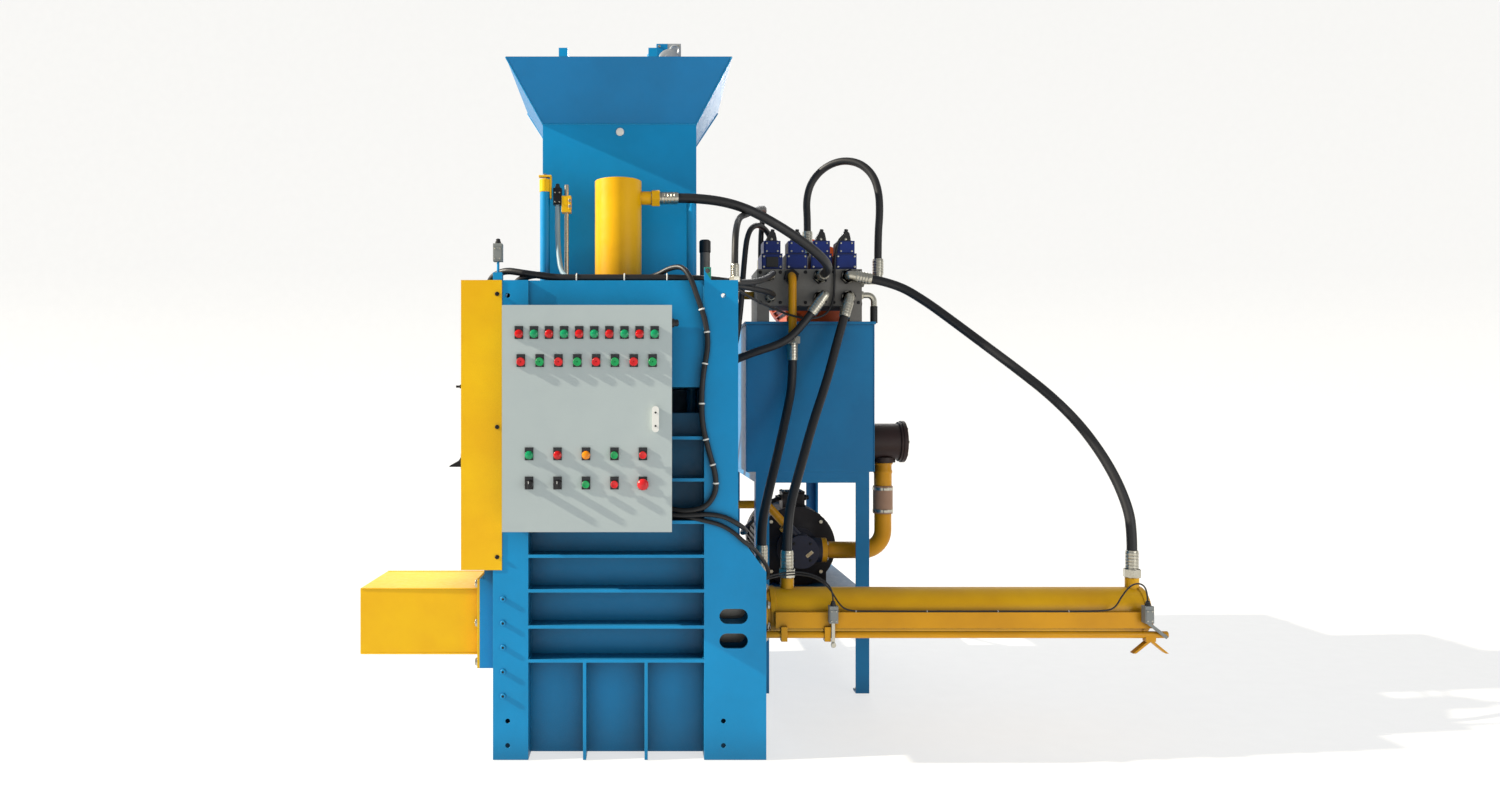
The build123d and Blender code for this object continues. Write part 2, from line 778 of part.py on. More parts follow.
# Limit switches on the rail, on the stand and on the frame's corner
switches = []
near_x = foot_x + near_switch
far_x = eject_far - far_switch_inset
switch_low = rail_low + switch_rise
for place in (near_x, far_x):
    switches.append(block((place - switch_width / 2, place + switch_width / 2),
                          (rail_y - switch_depth, rail_y),
                          (switch_low, switch_low + switch_height)))
lever_back = trip_y - trip_radius - lever_gap
lever = block((near_x - lever_width / 2, near_x + lever_width / 2), (lever_back - lever_plate, lever_back),
              (switch_low - lever_reach, switch_low + lever_width))
switches[0] += lever
tilted = block((-lever_width / 2, lever_width / 2), (lever_back - lever_plate, lever_back),
               (-lever_reach, lever_width))
switches[1] += Pos(far_x, 0, switch_low) * Rot(0, -far_lever_tilt, 0) * tilted
clamp_x = -stand_x
body_right = clamp_x - clamp_width / 2
clamp_low = frame_height + clamp_level
switches.append(block((body_right - switch_width, body_right), (-switch_depth / 2, switch_depth / 2),
                      (clamp_low + switch_depth, clamp_low + switch_depth + switch_height)))
corner_x = left_x + corner_block / 2
corner_y = front_y + corner_block / 2
corner_low = frame_height + corner_block_height + corner_post_height
switches.append(block((corner_x - switch_width / 2, corner_x + switch_width / 2),
                      (corner_y - switch_depth / 2, corner_y + switch_depth / 2),
                      (corner_low, corner_low + switch_height)))
save("limit_switches", *switches)

stand = rod_z(stand_radius, clamp_x, 0, (frame_height, frame_height + stand_height))
stand += block((clamp_x - clamp_width / 2, clamp_x + clamp_width / 2),
               (-switch_depth / 2, switch_depth / 2),
               (clamp_low, clamp_low + clamp_height))
corner = block((left_x, left_x + corner_block), (front_y, front_y + corner_block),
               (frame_height, frame_height + corner_block_height))
corner += rod_z(corner_post_radius, corner_x, corner_y, (frame_height, corner_low))
save("switch_stand", stand, corner)

# Gate with its bracket and rod, and the gate cylinder on the column
gate = block((gate_x - gate_thickness, gate_x), (-gate_half, gate_half), (gate_low, gate_low + gate_height))
gate_top = gate_low + gate_height
gate += block((gate_ram_x - gate_ram_reach, gate_x), (-bracket_half_width, bracket_half_width),
              (gate_top - bracket_plate, gate_top))
gate_seat = gate_mount_level + gate_mount_plate
gate += Pos(gate_ram_x, 0, gate_seat) * piston(slim_bore, slim_rod,
                                               gate_seat - gate_top + bracket_plate / 2,
                                               slim_gland + end_gap, slim_piston)
save("gate_plate", gate)
lifter = Pos(gate_ram_x, 0, gate_seat) * barrel(gate_length, slim_radius, slim_bore, slim_rod, slim_cap,
                                                slim_gland)
mount = block((gate_ram_x - slim_radius - end_gap, left_x), (-gate_mount_half_width, gate_mount_half_width),
              (gate_mount_level, gate_seat))
lifter += mount - rod_z(slim_rod + run_gap, gate_ram_x, 0,
                        (gate_mount_level - overrun, gate_seat + overrun))
for place in gate_port_places:
    lifter += rod_y(slim_rod, gate_ram_x, (-slim_radius - gate_port_height, -(slim_radius + slim_bore) / 2),
                    gate_seat + place)
save("gate_cylinder", lifter)

# Folded cover over the gate's travel
cover = block((cover_x, left_x + cover_lap), (front_y - cover_sheet, front_y), (cover_bottom, frame_height))
cover += block((cover_x, cover_x + cover_sheet), (front_y - cover_sheet, cover_y),
               (cover_bottom, frame_height))
cover += block((cover_x, left_x + cover_lap), (cover_y, cover_y + cover_sheet),
               (cover_bottom, frame_height))
save("gate_guard", cover)

# Outlet tube with its flange
duct_y = half_y + duct_plate
duct = block((duct_x - duct_length, gate_flange_x), (-duct_y, duct_y),
             (channel_floor - duct_plate, channel_top + duct_plate))
duct += block((duct_x, gate_flange_x), (-flange_half, flange_half), (flange_low, flange_top))
duct -= block((duct_x - duct_length - overrun, gate_flange_x + overrun), (-half_y, half_y),
              (channel_floor, channel_top))
save("outlet_duct", duct)

# Visible bolts: outlet flange, ejector flange and the column's screws
bolts = []
for side in (-1, 1):
    for share in duct_bolt_shares:
        level = flange_low + share * (flange_top - flange_low)
        bolts.append(rod_x(duct_bolt_radius, (duct_x - duct_bolt_length, duct_x),
                           side * (duct_y + flange_half) / 2, level))
for k in range(eject_bolt_count):
    turn = 2 * pi * (k + 0.5) / eject_bolt_count
    bolts.append(rod_x(eject_bolt_radius, (foot_x + eject_flange_plate,
                                           foot_x + eject_flange_plate + eject_bolt_length),
                       eject_bolt_circle * cos(turn), channel_mid + eject_bolt_circle * sin(turn)))
for k in range(column_screw_count):
    bolts.append(rod_y(column_screw_radius, left_x + column_screw_edge,
                       (front_y - column_screw_height, front_y),
                       column_screw_low + k * column_screw_pitch))
save("flange_bolts", *bolts)

# Feed chute with the pusher's housing and rear legs
chute = block((-chute_x, chute_x), (wall_y, chute_back), (chute_low, chute_top))
chute -= block((-chute_in_x, chute_in_x), (wall_y + chute_plate, chute_back - chute_plate),
               (channel_floor, chute_top + overrun))
chute += block((-chute_x, chute_x), (chute_back - chute_plate, housing_back),
               (chute_low, feed_top + chute_plate))
chute -= block((-chute_in_x, chute_in_x), (wall_y - overrun, housing_back + overrun),
               (channel_floor, feed_top))
back = block((-chute_x, chute_x), (housing_back, feed_mount), (chute_low, feed_top + chute_plate))
chute += back - rod_y(feed_rod + hole_play, 0, (housing_back - overrun, feed_mount + overrun), feed_axis)
for side in (-1, 1):
    middle = side * (chute_x - chute_leg_inset)
    leg_y = (housing_back - chute_leg, housing_back)
    chute += block((middle - chute_leg / 2, middle + chute_leg / 2), leg_y, (0, chute_low))
    chute += block((middle - foot_pad / 2, middle + foot_pad / 2), (leg_y[0] - (foot_pad - chute_leg) / 2,
                   leg_y[1] + (foot_pad - chute_leg) / 2), (0, foot_pad_plate))
save("feed_chute", chute)

# Feed pusher and its cylinder behind the housing
pusher_x = chute_in_x - slide_gap
pusher_z = (channel_floor + slide_gap, feed_top - slide_gap)
pusher = block((-pusher_x, pusher_x), (pusher_front, pusher_front + pusher_length), pusher_z)
pusher -= block((-pusher_x + pusher_wall, pusher_x - pusher_wall),
                (pusher_front + pusher_wall, pusher_front + pusher_length + overrun),
                (pusher_z[0] + pusher_wall, pusher_z[1] - pusher_wall))
feed_place = Pos(0, feed_mount, feed_axis) * Rot(-90, 0, 0)
feed_start = feed_length - slim_cap - end_gap - slim_piston
pusher += feed_place * piston(feed_bore, feed_rod, feed_mount - pusher_front - pusher_wall / 2, feed_start,
                              slim_piston)
save("feed_pusher", pusher)
feeder = barrel(feed_length, feed_barrel, feed_bore, feed_rod, slim_cap, slim_gland)
feeder += rod_z(feed_flange_radius, 0, 0, (0, housing_plate)) - rod_z(feed_bore, 0, 0,
                                                                      (-overrun, overrun * 2))
feeder = feed_place * feeder
for place in feed_port_places:
    feeder += rod_z(port_radius, 0, feed_mount + place, (feed_axis + (feed_barrel + feed_bore) / 2,
                    feed_axis + feed_barrel + feed_port_height))
save("feed_cylinder", feeder)

# Flared hopper, a sheet loft between the chute's outline and its mouth
def frustum(inset):
    """Loft between the two rectangles of the hopper, drawn in by the sheet."""
    low = Pos(0, hopper_mid, chute_top) * Rectangle(chute_width - 2 * inset, chute_depth - 2 * inset)
    high = Pos(0, hopper_mid, hopper_top) * Rectangle(hopper_width - 2 * inset, hopper_depth - 2 * inset)
    return loft([low, high])


save("feed_hopper", frustum(0) - frustum(hopper_sheet))

# Bars over the hopper mouth, the agitator's bearings, its gearmotor and the shaft
carriers = []
for place in bar_places:
    carrier = block((place - bar_size / 2, place + bar_size / 2),
                    (hopper_mid - hopper_depth / 2, hopper_mid + hopper_depth / 2),
                    (hopper_top, hopper_top + bar_size))
    carrier += block((place - hanger_plate / 2, place + hanger_plate / 2),
                     (agitator_y - hanger_half, agitator_y + hanger_half),
                     (hopper_top - hanger_reach, hopper_top))
    carriers.append(carrier - rod_x(shaft_radius + run_gap, (place - overrun, place + overrun), agitator_y,
                                    agitator_level))
save("agitator_bars", *carriers)
box_x = (bar_places[1] + bar_size / 2, bar_places[1] + bar_size / 2 + gearbox_width)
gear_low = agitator_level - gearbox_drop
gearbox = block(box_x, (agitator_y - gearbox_half, agitator_y + gearbox_half),
                (gear_low, gear_low + gearbox_height))
gearbox += block((bar_places[1] + hanger_plate / 2, box_x[0]),
                 (agitator_y - hanger_half, agitator_y + hanger_half),
                 (gear_low, hopper_top))
gearbox -= rod_x(shaft_radius + run_gap, (box_x[0] - overrun, bar_places[1] + shaft_entry), agitator_y,
                 agitator_level)
gear_mid = (box_x[0] + box_x[1]) / 2
gearbox += rod_y(gearmotor_radius, gear_mid,
                 (agitator_y + gearbox_half, agitator_y + gearbox_half + gearmotor_length),
                 agitator_level + gearmotor_rise)
save("agitator_gearmotor", gearbox)
shaft = rod_x(shaft_radius, (bar_places[0] - shaft_overhang, bar_places[1] + shaft_entry - slide_gap),
              agitator_y, agitator_level)
for place in arm_places:
    shaft += rod_y(arm_radius, place, (agitator_y - arm_reach, agitator_y + arm_reach), agitator_level)
    for side in (-1, 1):
        tip = sorted((agitator_y + side * arm_reach, agitator_y + side * (arm_reach - paddle_length)))
        shaft += block((place - paddle_width / 2, place + paddle_width / 2), tip,
                       (agitator_level - paddle_plate / 2, agitator_level + paddle_plate / 2))
save("agitator_shaft", shaft)

# Control box, its switchgear and the door
shell = block((box_left, box_right), (box_front, front_y), (box_bottom, box_top))
shell -= block((box_left + box_sheet, box_right - box_sheet), (box_front - overrun, front_y - box_sheet),
               (box_bottom + box_sheet, box_top - box_sheet))
save("control_box", shell)
gear_back = front_y - box_sheet
gear = block((box_left + gear_margin, box_right - gear_margin), (gear_back - gear_plate, gear_back),
             (box_bottom + gear_margin, box_top - gear_margin))
for share in gear_row_shares:
    level = box_bottom + share * box_height
    gear += block((box_left + gear_margin * 2, box_right - gear_margin * 2),
                  (gear_back - gear_plate - gear_rail_depth, gear_back),
                  (level - gear_rail_height / 2, level + gear_rail_height / 2))
    for k in range(gear_unit_count):
        start = box_left + gear_margin * 2 + (k + 0.5) * (box_width - gear_margin * 4) / gear_unit_count
        gear += block((start - gear_unit_width / 2, start + gear_unit_width / 2),
                      (gear_back - gear_unit_depth, gear_back),
                      (level - gear_unit_height / 2, level + gear_unit_height / 2))
save("control_gear", gear)
door = block((box_left, box_right), (door_front, box_front - door_gap), (box_bottom, box_top))
door -= block((box_left + box_sheet, box_right - box_sheet), (door_front + box_sheet, box_front + overrun),
              (box_bottom + box_sheet, box_top - box_sheet))
moving_spots = upper_spots[3:] + lower_spots
for x, z in moving_spots:
    door -= rod_y(stem_radius + run_gap, x, (door_front - overrun, door_front + overrun), z)
handle_z = handle_low + handle_height / 2
door -= rod_y(spindle_radius + run_gap, handle_x, (door_front - overrun, door_front + overrun), handle_z)
save("box_door", door)

# Door furniture: bezels with the jog caps, lamps, handle and the moving caps
bezels = []
for x, z in lamp_spots + jog_spots + upper_spots + lower_spots:
    bezel = block((x - bezel_width / 2, x + bezel_width / 2), (bezel_front, door_front),
                  (z - bezel_drop, z + bezel_rise))
    if (x, z) in moving_spots:
        bezel -= rod_y(stem_radius + run_gap, x, (bezel_front - overrun, door_front + overrun), z)
    if (x, z) in jog_spots:
        bezel += rod_y(cap_radius, x, (bezel_front - cap_height, bezel_front), z)
    bezels.append(bezel)
save("control_bezels", *bezels)
save("pilot_lamps", *[rod_y(cap_radius, x, (bezel_front - lamp_height, bezel_front), z)
                      for x, z in lamp_spots + upper_spots[:3]])


def push_cap(spot, radius, height, travel):
    """Cap standing off its bezel by its travel, on a stem through the door."""
    x, z = spot
    seat = bezel_front - travel - slide_gap
    return rod_y(radius, x, (seat - height, seat), z) + rod_y(stem_radius, x,
                                                              (seat, bezel_front + stem_length), z)


save("green_button_upper", push_cap(upper_spots[3], cap_radius, cap_height, press_travel))
save("red_button_upper", push_cap(upper_spots[4], cap_radius, cap_height, press_travel))
save("green_button_lower", push_cap(lower_spots[2], cap_radius, cap_height, press_travel))
save("red_button_lower", push_cap(lower_spots[3], cap_radius, cap_height, press_travel))
save("e_stop", push_cap(lower_spots[4], stop_radius, stop_height, stop_travel))
save("selector_left", push_cap(lower_spots[0], knob_radius, knob_height, 0))
save("selector_right", push_cap(lower_spots[1], knob_radius, knob_height, 0))
handle_seat = door_front - rest_gap
lever_place = Pos(handle_x, handle_seat, handle_z) * Rot(90, 0, 0)
handle = extrude(lever_place * SlotOverall(handle_height, handle_width, rotation=90), amount=handle_depth)
handle += rod_y(spindle_radius, handle_x, (handle_seat, door_front + stem_length), handle_z)
save("door_handle", handle)

# Oil tank on a stand of angle legs, with the shelf for the motor
tank = block((tank_left, tank_right), (tank_front, tank_back), (tank_bottom, tank_top - lid_plate))
tank += block((tank_left - lid_overhang, tank_right + lid_overhang),
              (tank_front - lid_overhang, tank_back + lid_overhang),
              (tank_top - lid_plate, tank_top))
save("oil_tank", tank)
leg_x = (tank_left + leg_inset, tank_right - leg_inset / 2)
leg_y = (tank_front, tank_back - leg_inset)
stand = block(leg_x, leg_y, (tank_bottom - stand_rail, tank_bottom))
stand -= block((leg_x[0] + leg_width, leg_x[1] - leg_width), (leg_y[0] + leg_width, leg_y[1] - leg_width),
               (tank_bottom - stand_rail - overrun, tank_bottom + overrun))
for side_x, out_x in ((leg_x[0], 1), (leg_x[1], -1)):
    for side_y, out_y in ((leg_y[0], 1), (leg_y[1], -1)):
        wide = sorted((side_x, side_x + out_x * leg_width))
        deep = sorted((side_y, side_y + out_y * leg_width))
        stand += block(wide, sorted((side_y, side_y + out_y * leg_plate)), (0, tank_bottom))
        stand += block(sorted((side_x, side_x + out_x * leg_plate)), deep, (0, tank_bottom))
        stand += block(wide, deep, (0, leg_plate))
shelf_low = shelf_level - shelf_plate
stand += block(leg_x, leg_y, (shelf_low, shelf_level))
for side_x, out_x in ((leg_x[0], 1), (leg_x[1], -1)):
    stand += block(sorted((side_x, side_x + out_x * leg_plate)), leg_y, (shelf_low - stand_rail, shelf_low))
save("tank_stand", stand)


# Motors and pumps
def motor(x, y, z, radius, length, seat):
    """Foot motor along +Y: body, stepped end shields, terminal box and feet down to its seat."""
    body = rod_y(radius, x, (y, y + length), z)
    body += rod_y(motor_boss_radius, x, (y - motor_boss_length, y + length + motor_boss_length), z)
    body += block((x - terminal_width / 2, x + terminal_width / 2),
                  (y + terminal_rise, y + terminal_rise + terminal_width),
                  (z + radius / 2, z + radius + terminal_rise))
    for side in (-1, 1):
        middle = x + side * radius * motor_foot_share
        body += block((middle - motor_foot / 2, middle + motor_foot / 2),
                      (y + motor_foot, y + length - motor_foot), (seat, z))
    return body


save("pump_motor", motor(motor_x, motor_y, motor_level, motor_radius, motor_length, shelf_level))
upper = rod_y(upper_motor_radius, upper_motor_x, (upper_motor_y, upper_motor_y + upper_motor_length),
              upper_axis)
upper += rod_y(motor_boss_radius, upper_motor_x, (upper_motor_y - motor_boss_length, upper_motor_y),
               upper_axis)
for side in (-1, 1):
    middle = upper_motor_x + side * upper_motor_radius * upper_foot_share
    upper += block((middle - motor_foot / 2, middle + motor_foot / 2),
                   (upper_motor_y + motor_foot, upper_motor_y + upper_motor_length - motor_foot),
                   (tank_top, upper_axis))
save("upper_motor", upper)
pump_back = motor_y - motor_boss_length
pump = rod_y(pump_radius, motor_x, (pump_y - motor_boss_length, pump_back), motor_level)
pump += rod_y(pump_flange_radius, motor_x, (pump_back - pump_flange, pump_back), motor_level)
intake_x = motor_x + pump_flange_radius
pump += rod_x(suction_flange, (motor_x, intake_x), filter_y - motor_boss_length, motor_level)
pump_way = tuple(Vector(*pump_port_shares).normalized())
pump_port = (motor_x + pump_port_side, filter_y - motor_boss_length, motor_level + pump_port_lift)
pump_outlet = along(pump_port, pump_way, pump_port_length)
pump += stub(pump_port_radius, pump_port, pump_outlet)
upper_pump_back = upper_motor_y - motor_boss_length
upper_pump = rod_y(upper_pump_radius, upper_motor_x, (manifold_back + end_gap, upper_pump_back), upper_axis)
outlet_x = upper_motor_x - outlet_offset
outlet_y = (manifold_back + end_gap + upper_pump_back) / 2
upper_pump += rod_z(outlet_radius, outlet_x, outlet_y, (upper_axis, upper_axis + outlet_rise))
save("hydraulic_pumps", pump, upper_pump)

# Suction filter on the tank's side, rubber sleeve and yellow pipes
line_y = filter_y - motor_boss_length
strainer = rod_x(filter_radius, (tank_right, tank_right + filter_length), line_y, filter_level)
strainer += rod_x(filter_cover, (tank_right + filter_length - filter_cover_plate,
                                 tank_right + filter_length),
                  line_y, filter_level)
strainer += rod_z(suction_radius, suction_x, line_y, (sleeve_top, filter_level))
strainer += rod_z(suction_flange, suction_x, line_y,
                  (filter_level - filter_radius - suction_flange_plate / 2,
                  filter_level - filter_radius + suction_flange_plate / 2))
save("suction_filter", strainer)
sleeve = rod_z(sleeve_radius, suction_x, line_y, (sleeve_bottom, sleeve_top))
save("suction_sleeve", sleeve)
rise = FilletPolyline((intake_x, line_y, motor_level), (suction_x, line_y, motor_level),
                      (suction_x, line_y, sleeve_bottom), radius=suction_bend)
suction = sweep(Plane((intake_x, line_y, motor_level), z_dir=(1, 0, 0)) * Circle(suction_radius), path=rise)
suction += rod_x(suction_flange, (intake_x, intake_x + suction_flange_plate), line_y, motor_level)

# Manifold on its supports, with four valves
manifold = block((manifold_left, manifold_right), (tank_front, manifold_back), (manifold_low, manifold_top))
for start in (manifold_left, manifold_right - support_width):
    manifold += block((start, start + support_width), (tank_front, manifold_back), (tank_top, manifold_low))
save("valve_manifold", manifold)
valves = []
valve_mid = (manifold_left + manifold_right) / 2
valve_y = tank_front + valve_setback
for k in range(valve_count):
    x = valve_mid + (k - (valve_count - 1) / 2) * valve_pitch
    valve = block((x - valve_width / 2, x + valve_width / 2), (valve_y, valve_y + valve_depth),
                  (manifold_top, manifold_top + valve_base_height))
    valve += block((x - pilot_width / 2, x + pilot_width / 2), (valve_y, valve_y + pilot_depth),
                   (manifold_top, manifold_top + valve_base_height + pilot_height))
    valves.append(valve)
save("solenoid_valves", *valves)

# Hose ends on the ports and elbows on the manifold
ends = []
right, near, up, down = (1, 0, 0), (0, -1, 0), (0, 0, 1), (0, 0, -1)
cap_way, rod_way, feed_way = [tuple(Vector(*way).normalized()) for way in way_shares]
port_top = channel_mid + barrel_radius + port_height
feed_port_z = feed_axis + feed_barrel + feed_port_height
press_tip = hose_end((barrel_radius + port_height, 0, press_seat + press_port_level), right)
press_far = hose_end((port_xs[2], tank_front, upper_port_z), near)
cap_tip = elbow_end((port_xs[3], tank_front, upper_port_z), near, cap_way, elbow_reach)
cap_far = hose_end((foot_x + eject_far_port, 0, port_top), up)
rod_tip = elbow_end((port_xs[3], tank_front, lower_port_z), near, rod_way, elbow_reach)
rod_far = hose_end((foot_x + eject_near_port, 0, port_top), up)
feed_tip = elbow_end((port_xs[2], tank_front, lower_port_z), near, feed_way, feed_reach)
feed_far = hose_end((0, feed_mount + feed_port_places[0], feed_port_z), up)
loop_tip = hose_end((outlet_x, outlet_y, upper_axis + outlet_rise), up)
loop_far = elbow_end((manifold_right, tank_front + manifold_depth / 2, upper_port_z), right, up, long_reach)
pusher_tip = hose_end((port_xs[1], tank_front - elbow_reach, pipe_low), down)
pusher_far = elbow_end((foot_x, bulkhead_y, bulkhead_z), right, up, short_reach)
gate_tip = hose_end((right_x - column_plate / 2, gate_hose_y, frame_height), up, slim_share)
gate_far = hose_end((rear_port_xs[0], rear_port_y, manifold_top), up, slim_share)
return_tip = hose_end((rear_port_xs[1], rear_port_y, manifold_top), up, slim_share)
return_far = hose_end((0, feed_mount + feed_port_places[1], feed_port_z), up, slim_share)
line_tips = [hose_end((port_xs[0], tank_front, level), near, slim_share) for level in (upper_port_z,
                                                                                       lower_port_z)]
line_fars = [elbow_end((gate_ram_x, -slim_radius - gate_port_height, gate_seat + place), near, up,
                       short_reach, slim_share)
             for place in gate_port_places]
column_tip = elbow_end((left_in_x, line_bulkhead_y, gate_seat + gate_port_places[1]), right, up,
                       short_reach, slim_share)
save("hose_fittings", *ends)

# Free hoses, from end to end through points chosen by eye
cap_lead = along(cap_tip, cap_way, lead)
cap_run = cap_far[0] - cap_lead[0]
cap_points = [(cap_lead[0] + share * cap_run, y, z) for share, (y, z) in zip(cap_run_shares, cap_run_sides)]
hoses = {
    "press_hose": (hose_radius, [press_tip, along(press_tip, right, lead), (505, 28, 2134), (645, 80, 2074),
                                 (770, 140, 2008), (860, 212, 1955), (904, 292, 1927),
                                 along(press_far, near, slim_lead), press_far]),
    "eject_cap_hose": (hose_radius, [cap_tip, cap_lead, *cap_points, along(cap_far, up, slim_lead),
                                     cap_far]),
    "eject_rod_hose": (hose_radius, [rod_tip, along(rod_tip, rod_way, lead), (915, 400, 1430),
                                     (835, 280, 1255),
                                     (757, 142, 1060), (700, 35, 925), along(rod_far, up,
                                                                             slim_lead), rod_far]),
    "feed_hose": (loop_radius, [feed_tip, along(feed_tip, feed_way, lead), (715, 442, 1600),
                                (600, 448, 1565),
                                (485, 480, 1520), (408, 570, 1455), (375, 690, 1380), (360, 830, 1290),
                                (310, 980, 1190), (225, 1130, 1130), (115, 1240, 1090), (35, 1300, 1020),
                                along(feed_far, up, slim_lead), feed_far]),
    "loop_hose": (loop_radius, [loop_tip, along(loop_tip, up, slim_lead), (900, 863, 2335),
                                (921, 850, 2420),
                                (979, 818, 2484), (1057, 773, 2508), (1134, 729, 2484), (1190, 697, 2420),
                                (1214, 684, 2335), (1218, 681, 2240), along(loop_far, up, lead), loop_far]),
    "pusher_hose": (hose_radius, [pusher_tip, along(pusher_tip, down, lead), (745, 465, 1280),
                                  (695, 370, 1115),
                                  (645, 260, 975), (609, 174, 870), along(pusher_far, up,
                                                                          slim_lead), pusher_far]),
    "gate_hose": (bundle_radius, [gate_tip, along(gate_tip, up, slim_lead), (463, -195, 2015),
                                  (500, -70, 2145),
                                  (555, 120, 2225), (620, 380, 2262), (655, 565, 2268), (663, 655, 2251),
                                  (665, 724, 2211), along(gate_far, up, lead), gate_far]),
    "feed_return_hose": (bundle_radius, [return_tip, along(return_tip, up, slim_lead), (708, 748, 2150),
                                         (675, 703, 2190),
                                         (636, 650, 2200), (600, 601, 2174), (578, 571, 2115), (568, 556,
                                                                                                2030),
                                         (558, 540, 1920), (548, 530, 1780), (530, 555, 1620), (490, 640,
                                                                                                1450),
                                         (430, 800, 1290), (350, 1020, 1160), (230, 1290, 1090), (110, 1550,
                                                                                                  1070),
                                         (35, 1730, 1040), (5, 1828, 960), along(return_far, up,
                                                                                 slim_lead), return_far]),
}
for name, (radius, points) in hoses.items():
    save(name, cord(name, points, radius))

# Yellow pipes: suction line, pressure pipe off the manifold, and the pump's line to the manifold
drop = FilletPolyline((port_xs[1], tank_front, upper_port_z),
                      (port_xs[1], tank_front - elbow_reach, upper_port_z),
                      (port_xs[1], tank_front - elbow_reach, pipe_low), radius=pipe_bend)
pressure = sweep(Plane((port_xs[1], tank_front, upper_port_z), z_dir=(0, -1, 0)) * Circle(pipe_radius),
                 path=drop)
turn_up = along(pump_outlet, pump_way, (pump_pipe_level - pump_outlet[2]) / pump_way[2])
rise_x = tank_left - pump_pipe_gap
pipe_end = manifold_low + pump_pipe_share * manifold_height
climb = FilletPolyline(pump_outlet, turn_up, (rise_x, line_y, pump_pipe_level), (rise_x, line_y, pipe_end),
                       (manifold_left, line_y, pipe_end), radius=pipe_bend)
pump_pipe = sweep(Plane(pump_outlet, z_dir=pump_way) * Circle(pipe_radius), path=climb)
pump_pipe += stub(pump_pipe_flange, pump_outlet, along(pump_outlet, pump_way, pump_pipe_plate))
save("oil_pipes", suction, pressure, pump_pipe)

# Lines that are tied to the frame: two gate hoses over the head, and the switch cable down the front
def over_head(points):
    """Points chosen by eye, their heights counted from the frame's top."""
    return [(x, y, frame_height + rise) for x, y, rise in points]


upper_line = [line_tips[0], along(line_tips[0], near, slim_lead), *over_head(upper_line_points),
              along(line_fars[1], up, slim_lead), line_fars[1]]
lower_line = [line_tips[1], along(line_tips[1], near, slim_lead), *over_head(lower_line_points),
              along(column_tip, up, slim_lead), column_tip]
cable_start = (clamp_x - clamp_width / 2 - switch_width / 2, 0, clamp_low + switch_depth)
cable = [cable_start, along(cable_start, down, lead), *over_head(cable_top_points)]
for x, share in zip(cable_drop_xs, cable_drop_shares):
    cable.append((x, front_y - cable_radius - cable_gap, cable_low + share * (frame_height - cable_low)))
cable += cable_end_points
save("hose_bundle", cord("upper_line", upper_line, bundle_radius),
     cord("lower_line", lower_line, bundle_radius),
     cord("switch_cable", cable, cable_radius))
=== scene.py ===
"""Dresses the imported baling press: enamel, chrome and rubber finishes, hoses, and the small pieces on the frame."""
import math

import bpy
import numpy as np
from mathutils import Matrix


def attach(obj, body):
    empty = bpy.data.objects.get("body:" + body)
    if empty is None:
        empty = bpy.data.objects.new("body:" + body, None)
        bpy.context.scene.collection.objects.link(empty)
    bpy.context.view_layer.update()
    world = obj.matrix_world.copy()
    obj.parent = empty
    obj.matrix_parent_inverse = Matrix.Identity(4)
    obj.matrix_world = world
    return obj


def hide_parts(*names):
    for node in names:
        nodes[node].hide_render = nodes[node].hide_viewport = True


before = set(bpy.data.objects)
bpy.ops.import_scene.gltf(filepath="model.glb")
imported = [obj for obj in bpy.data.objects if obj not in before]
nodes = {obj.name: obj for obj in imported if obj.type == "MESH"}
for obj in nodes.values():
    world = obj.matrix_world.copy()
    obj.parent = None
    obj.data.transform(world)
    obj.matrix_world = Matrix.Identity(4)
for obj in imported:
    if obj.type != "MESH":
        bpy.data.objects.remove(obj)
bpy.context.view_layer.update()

RIGHT, BACK, UP = (1, 0, 0), (0, 1, 0), (0, 0, 1)
LEFT, NEAR = (-1, 0, 0), (0, -1, 0)
MM = 0.001
WOOD_DUST = "#C8B48A"


# Camera at the photograph's place, in front of the control box
camera_data = bpy.data.cameras.new("camera")
camera_data.lens = 24
camera_data.sensor_width = 36
camera_data.shift_x = 0.0713
camera_data.shift_y = 0.0067
camera = bpy.data.objects.new("camera", camera_data)
camera.location = (0.100, -4.040, 1.305)
camera.rotation_euler = (math.radians(90), 0, 0)
bpy.context.scene.collection.objects.link(camera)
bpy.context.scene.camera = camera


# Finishes
def linear(colour):
    """An sRGB hex colour as linear red, green, blue and alpha."""
    shares = np.array([int(colour[n:n + 2], 16) for n in (1, 3, 5)]) / 255
    return (*np.where(shares <= 0.04045, shares / 12.92, ((shares + 0.055) / 1.055) ** 2.4), 1.0)


def add(tree, kind, inputs=(), **settings):
    """Adds a node with its settings, and fills its inputs with values or with other nodes' sockets."""
    node = tree.nodes.new(kind)
    for key, value in settings.items():
        setattr(node, key, value)
    for socket, value in dict(inputs).items():
        if isinstance(value, bpy.types.NodeSocket):
            tree.links.new(value, node.inputs[socket])
        else:
            node.inputs[socket].default_value = value
    return node


def start(name, **sockets):
    """A new material; gives it, its tree, its shader and the object's own coordinates."""
    material = bpy.data.materials.new(name)
    material.use_nodes = True
    tree = material.node_tree
    shader = tree.nodes["Principled BSDF"]
    for socket, value in sockets.items():
        shader.inputs[socket.replace("_", " ")].default_value = value
    return material, tree, shader, add(tree, "ShaderNodeTexCoord").outputs["Object"]


def finish_with(tree, shader, colour, rough, normal):
    """Links what varies over the surface to the shader."""
    tree.links.new(colour, shader.inputs["Base Color"])
    tree.links.new(rough, shader.inputs["Roughness"])
    tree.links.new(normal, shader.inputs["Normal"])


